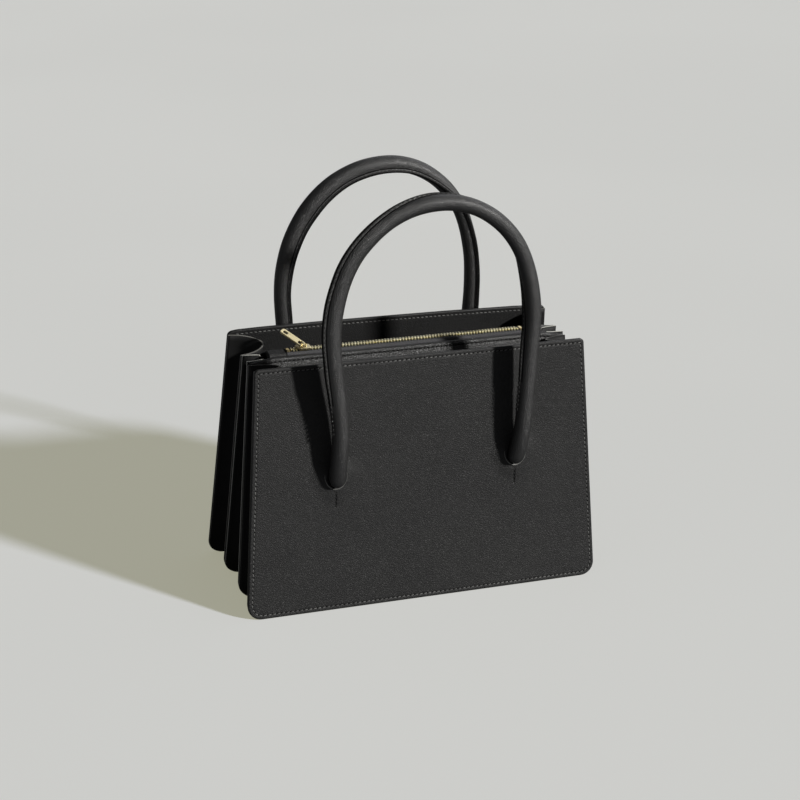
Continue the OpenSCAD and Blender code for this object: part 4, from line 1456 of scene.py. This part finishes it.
def slider_outline():
    """Outline of the slider's plates: a wide nose with round corners, and a tail as narrow as the chain."""
    nose, tail = SLIDER_W / 2, TOOTH_REACH + SLIDER_GAP + PLATE_T
    front, back = -SLIDER_L / 2, SLIDER_L / 2
    nose_r, tail_r = 2.2, 1.0
    half = arc_points(front + nose_r, nose - nose_r, nose_r, 180, 90, 8)
    half += [(front + 3.9, nose - 0.02), (front + 5.6, (nose + tail) / 2), (back - tail_r, tail)]
    half += arc_points(back - tail_r, tail - tail_r, tail_r, 90, 0, 4)
    return half + [(x, -y) for x, y in half[::-1]]


def place_at(x, y, z, *turns):
    """Place in millimetres and turns, each an angle and an axis, as one matrix."""
    matrix = Matrix.Translation(Vector((x, y, z)) * MM)
    for angle, axis in turns:
        matrix = matrix @ Matrix.Rotation(angle, 4, axis)
    return matrix


def swept(path, half_w, half_t, across):
    """A bar with rounded rims along a path in the plane square to across. Points in millimetres."""
    path = [Vector(p) for p in path]
    side = Vector(across).normalized()
    ring = []
    for t in np.linspace(0, 2 * math.pi, 17)[:-1]:
        square = 1 + 0.25 * math.cos(4 * t + math.pi)
        ring.append((math.cos(t) * square, math.sin(t) * square))
    points = []
    for i, p in enumerate(path):
        ahead = (path[min(i + 1, len(path) - 1)] - path[max(i - 1, 0)]).normalized()
        normal = side.cross(ahead)
        for a, b in ring:
            points.append(p + side * half_w * a * 0.8 + normal * half_t * b * 0.8)
    mesh = bpy.data.meshes.new("bar")
    mesh.from_pydata([tuple(p * MM) for p in points], [], bar_faces(len(path), len(ring)))
    face_outwards(mesh)
    return mesh


def shade(obj):
    """Smooth shading with sharp edges left sharp."""
    mesh = obj.data
    mesh.polygons.foreach_set("use_smooth", np.ones(len(mesh.polygons), bool))
    work = bmesh.new()
    work.from_mesh(mesh)
    for edge in work.edges:
        if len(edge.link_faces) == 2 and edge.calc_face_angle(0) > SHARP_FROM:
            edge.smooth = False
    work.to_mesh(mesh)
    work.free()
    mesh.update()


def build_slider():
    """Slider: two plates with side walls that guide the teeth, and the bridge that holds the pull."""
    outline = slider_outline()
    top_z = CHAIN_Z + TOOTH_H / 2 + SLIDER_GAP + PLATE_T / 2
    low_z = 2 * CHAIN_Z - top_z
    parts = [
        plate("upper_plate", [outline], PLATE_T, PLATE_RIM, SLIDER_BRASS, place_at(SLIDER_X, 0, top_z)),
        plate("lower_plate", [outline], PLATE_T, PLATE_RIM, SLIDER_BRASS, place_at(SLIDER_X, 0, low_z)),
    ]
    wall_h = TOOTH_H / 2 - TAPE_T / 2 + PLATE_T / 2
    guide = TOOTH_REACH + SLIDER_GAP + PLATE_T / 2 + 0.02
    run = np.linspace(-SLIDER_L / 2 + 1.6, SLIDER_L / 2 - 0.5, 9)
    for level in (1, -1):
        z = CHAIN_Z + level * (TAPE_T / 2 + SLIDER_GAP + wall_h / 2)
        for side in (1, -1):
            path = [(SLIDER_X + x, side * guide, z) for x in run]
            parts.append(swept(path, PLATE_T / 2, wall_h / 2, (0, 1, 0)))
    rise = PIN_Z + 0.5 + SLIDER_GAP + 0.4 - top_z
    arch = []
    for k in range(25):
        t = math.pi * k / 24
        x = -BRIDGE_HALF * 0.92 * math.copysign(abs(math.cos(t)) ** BRIDGE_POWER, math.cos(t))
        arch.append((SLIDER_X + x, 0, top_z + rise * abs(math.sin(t)) ** BRIDGE_POWER))
    parts.append(swept(arch, BRIDGE_W / 2, BRIDGE_T / 2, (0, 1, 0)))
    body = join_meshes("slider_body", parts, SLIDER_BRASS)
    shade(body)
    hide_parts("zip_slider")
    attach(body, "slider")


def build_pull():
    """Pull: a pin under the bridge, two arms, and a plate with a small window near its free end."""
    half, corner = PULL_W / 2, 1.9
    bridge_l = 2 * BRIDGE_HALF
    eye = (bridge_l * math.sin(PULL_TURN) + BRIDGE_W * math.cos(PULL_TURN)) / 2 + SLIDER_GAP
    eye_l, eye_r, arm_r = 4.1, 1.5, 0.9
    outer = arc_points(-PULL_L + corner, -half + corner, corner, 270, 180, 8)
    outer += arc_points(-PULL_L + corner, half - corner, corner, 180, 90, 8)
    outer += [(-6.5, half), (-2.0, half)]
    outer += arc_points(-0.6, half - arm_r, arm_r, 90, 0, 4)
    outer += [(0.3, eye), (-0.3, eye)] + arc_points(-eye_l + eye_r, eye - eye_r, eye_r, 90, 180, 6)
    outer += arc_points(-eye_l + eye_r, -eye + eye_r, eye_r, 180, 270, 6) + [(-0.3, -eye), (0.3, -eye)]
    outer += arc_points(-0.6, -half + arm_r, arm_r, 0, -90, 4)
    outer += [(-2.0, -half), (-6.5, -half)]
    slot, cut = 1.7, 0.25
    start, end = -PULL_L + corner, -PULL_L + corner + 2 * slot
    window = [
        (start + cut, -slot), (start, -slot + cut), (start, slot - cut), (start + cut, slot),
        (end - cut, slot), (end, slot - cut), (end, -slot + cut), (end - cut, -slot),
    ]
    place = place_at(SLIDER_X, 0, PIN_Z, (-PULL_TURN, "Z"), (PULL_RAISE, "Y"))
    parts = [plate("pull_plate", [outer, window], PULL_T, PULL_RIM, SLIDER_BRASS, place)]
    pin = swept([(0, y, 0) for y in np.linspace(-half + 0.35, half - 0.35, 9)], PIN_R, PIN_R, (1, 0, 0))
    pin.transform(place)
    face_outwards(pin)
    parts.append(pin)
    pull = join_meshes("pull_tab", parts, SLIDER_BRASS)
    shade(pull)
    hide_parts("zip_pull")
    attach(pull, "pull")


build_slider()
build_pull()


def build_end_tab(name, side, node):
    """Folded leather that closes an end of the zip: crowned, with rounded edges."""
    side_round, end_round, crown_half = 0.7, 0.8, 4.2
    low, span = TAPE_EDGE_Z - END_TAB_T + SOFT_GAP, MOUTH_HALF - SOFT_GAP - 0.9
    start, tape_top = TAPE_HALF + SOFT_GAP, CHAIN_Z + TAPE_T / 2
    ys = np.linspace(-span, span, 33)
    crown = np.interp(np.abs(ys), [0, crown_half, span], [tape_top - 0.05, tape_top - 0.15, TAPE_EDGE_Z])
    fall = edge_drop(span - np.abs(ys), side_round)
    xs = np.concatenate([
        np.linspace(0, 1, 6), np.linspace(1.6, END_TAB_L - 1.6, 16),
        np.linspace(END_TAB_L - 1, END_TAB_L, 6),
    ])
    top, bottom = [], []
    for x in xs:
        drop = edge_drop(min(x, END_TAB_L - x), end_round)
        wave = 0.08 * np.sin(ys * 1.1 + x * 0.5)
        across = np.full(len(ys), side * (start + x))
        top.append(np.stack([across, ys, crown - drop - fall + wave], axis=-1))
        bottom.append(np.stack([across, ys, np.full(len(ys), low)], axis=-1))
    points = np.concatenate([np.concatenate(top), np.concatenate(bottom)])
    tab = piece(name, points, sheet_faces(len(xs), len(ys))[0], [TAB_LEATHER])
    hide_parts(node)
    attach(tab, "bag")


build_end_tab("left_end_tab", -1, "zip_end_tab_left")
build_end_tab("right_end_tab", 1, "zip_end_tab_right")

# The stops keep the solids' own meshes, in their own metal
for node in ("zip_top_stops", "zip_bottom_stop"):
    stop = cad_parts[node]
    stop.data.materials.clear()
    stop.data.materials.append(STOP_BRASS)

# The single stitch and tooth have been repeated and are no pieces themselves
for spare in (STITCH, TOOTH):
    bpy.data.objects.remove(spare)


# Floor, light and camera


# Floor in metres, the share of its paleness that shine picks up, and the world's light with its one card
FLOOR_HALF = 6
FLOOR_DROP = 0.0002
FLOOR_MIRRORED = 0.1
WORLD_LIGHT = 0.075
WORLD_SEEN = 0.53
CARD_WAY = (0.650, 0.592, 0.478)
CARD_EDGE = (0.80, 0.97)
CARD_LIGHT = 1.1

# The sun and the camera: their angles from the bag's front and over the floor, and the camera's aim and
# distance in millimetres
SUN_SIDE, SUN_HIGH = math.radians(42), math.radians(26)
CAMERA_SIDE, CAMERA_HIGH, CAMERA_ROLL = math.radians(-19.90), math.radians(21.94), math.radians(1.64)
CAMERA_AIM = Vector((-3.3, 0, 134.2))
CAMERA_AWAY = 1480.5


def way_to(side, high):
    """Direction from the bag, turned sideways from its front and raised over the floor."""
    return Vector((math.sin(side) * math.cos(high), -math.cos(side) * math.cos(high), math.sin(high)))


def build_floor():
    """Floor that is pale to the camera, and darker to the light that bounces off it onto the leather."""
    signs = ((-1, -1), (1, -1), (1, 1), (-1, 1))
    corners = [(x * FLOOR_HALF, y * FLOOR_HALF, 0) for x, y in signs]
    mesh = bpy.data.meshes.new("floor")
    mesh.from_pydata(corners, [], [(0, 1, 2, 3)])
    floor = link(bpy.data.objects.new("floor", mesh))
    floor.location.z = -FLOOR_DROP
    material, tree, shader = start_material("floor_paint", 0.9, 0.1)
    spots = place_group(tree, PATCHES, Fine=40.0, Slow=1.2)
    pale = mix_colour(tree, spots.outputs["Slow"], (0.50, 0.52, 0.645), (0.52, 0.54, 0.665))
    rays = tree.nodes.new("ShaderNodeLightPath")
    mirrored = math_node(tree, "MULTIPLY", rays.outputs["Is Glossy Ray"], FLOOR_MIRRORED)
    seen = math_node(tree, "ADD", rays.outputs["Is Camera Ray"], mirrored, clamp=True)
    mixed = tree.nodes.new("ShaderNodeMix")
    mixed.data_type = "RGBA"
    tree.links.new(seen, mixed.inputs["Factor"])
    mixed.inputs["A"].default_value = (0.16, 0.165, 0.18, 1)
    tree.links.new(pale, mixed.inputs["B"])
    tree.links.new(mixed.outputs["Result"], shader.inputs["Base Color"])
    shader.inputs["Emission Color"].default_value = (0.325, 0.32, 0.24, 1)
    tree.links.new(seen, shader.inputs["Emission Strength"])
    mesh.materials.append(material)


def build_light():
    """A dim world, one bright card behind the bag that only shine shows, and a low sun from the front."""
    world = bpy.data.worlds.new("studio")
    bpy.context.scene.world = world
    world.use_nodes = True
    tree = world.node_tree
    back = tree.nodes["Background"]
    back.inputs["Color"].default_value = (0.97, 0.98, 1.0, 1)
    place = tree.nodes.new("ShaderNodeTexCoord").outputs["Generated"]
    facing = tree.nodes.new("ShaderNodeVectorMath")
    facing.operation = "DOT_PRODUCT"
    tree.links.new(place, facing.inputs[0])
    facing.inputs[1].default_value = CARD_WAY
    card = map_node(tree, facing.outputs["Value"], *CARD_EDGE, 0.0, CARD_LIGHT)
    rays = tree.nodes.new("ShaderNodeLightPath")
    shine = math_node(tree, "MULTIPLY", rays.outputs["Is Glossy Ray"], card)
    shown = math_node(tree, "MULTIPLY", rays.outputs["Is Camera Ray"], WORLD_SEEN)
    shown = math_node(tree, "ADD", shown, WORLD_LIGHT)
    tree.links.new(math_node(tree, "ADD", shine, shown), back.inputs["Strength"])
    key = bpy.data.lights.new("key", "SUN")
    key.energy = 3.4
    key.angle = math.radians(5)
    key.color = (1.0, 0.985, 0.96)
    lamp = link(bpy.data.objects.new("key", key))
    lamp.rotation_euler = way_to(SUN_SIDE, SUN_HIGH).to_track_quat("Z", "Y").to_euler()


def build_camera():
    """The photograph's camera: a long lens, raised and slightly rolled."""
    data = bpy.data.cameras.new("camera")
    data.sensor_width = 36
    data.lens = 90.09
    data.clip_end = 50
    camera = link(bpy.data.objects.new("camera", data))
    back = way_to(CAMERA_SIDE, CAMERA_HIGH)
    right = (-back).cross(Vector((0, 0, 1))).normalized()
    up = right.cross(-back)
    x = math.cos(CAMERA_ROLL) * right + math.sin(CAMERA_ROLL) * up
    y = -math.sin(CAMERA_ROLL) * right + math.cos(CAMERA_ROLL) * up
    place = Matrix.Translation((CAMERA_AIM + back * CAMERA_AWAY) * MM)
    camera.matrix_world = place @ Matrix((x, y, back)).transposed().to_4x4()
    bpy.context.scene.camera = camera


build_floor()
build_light()
build_camera()
bpy.context.scene.view_settings.view_transform = "Standard"
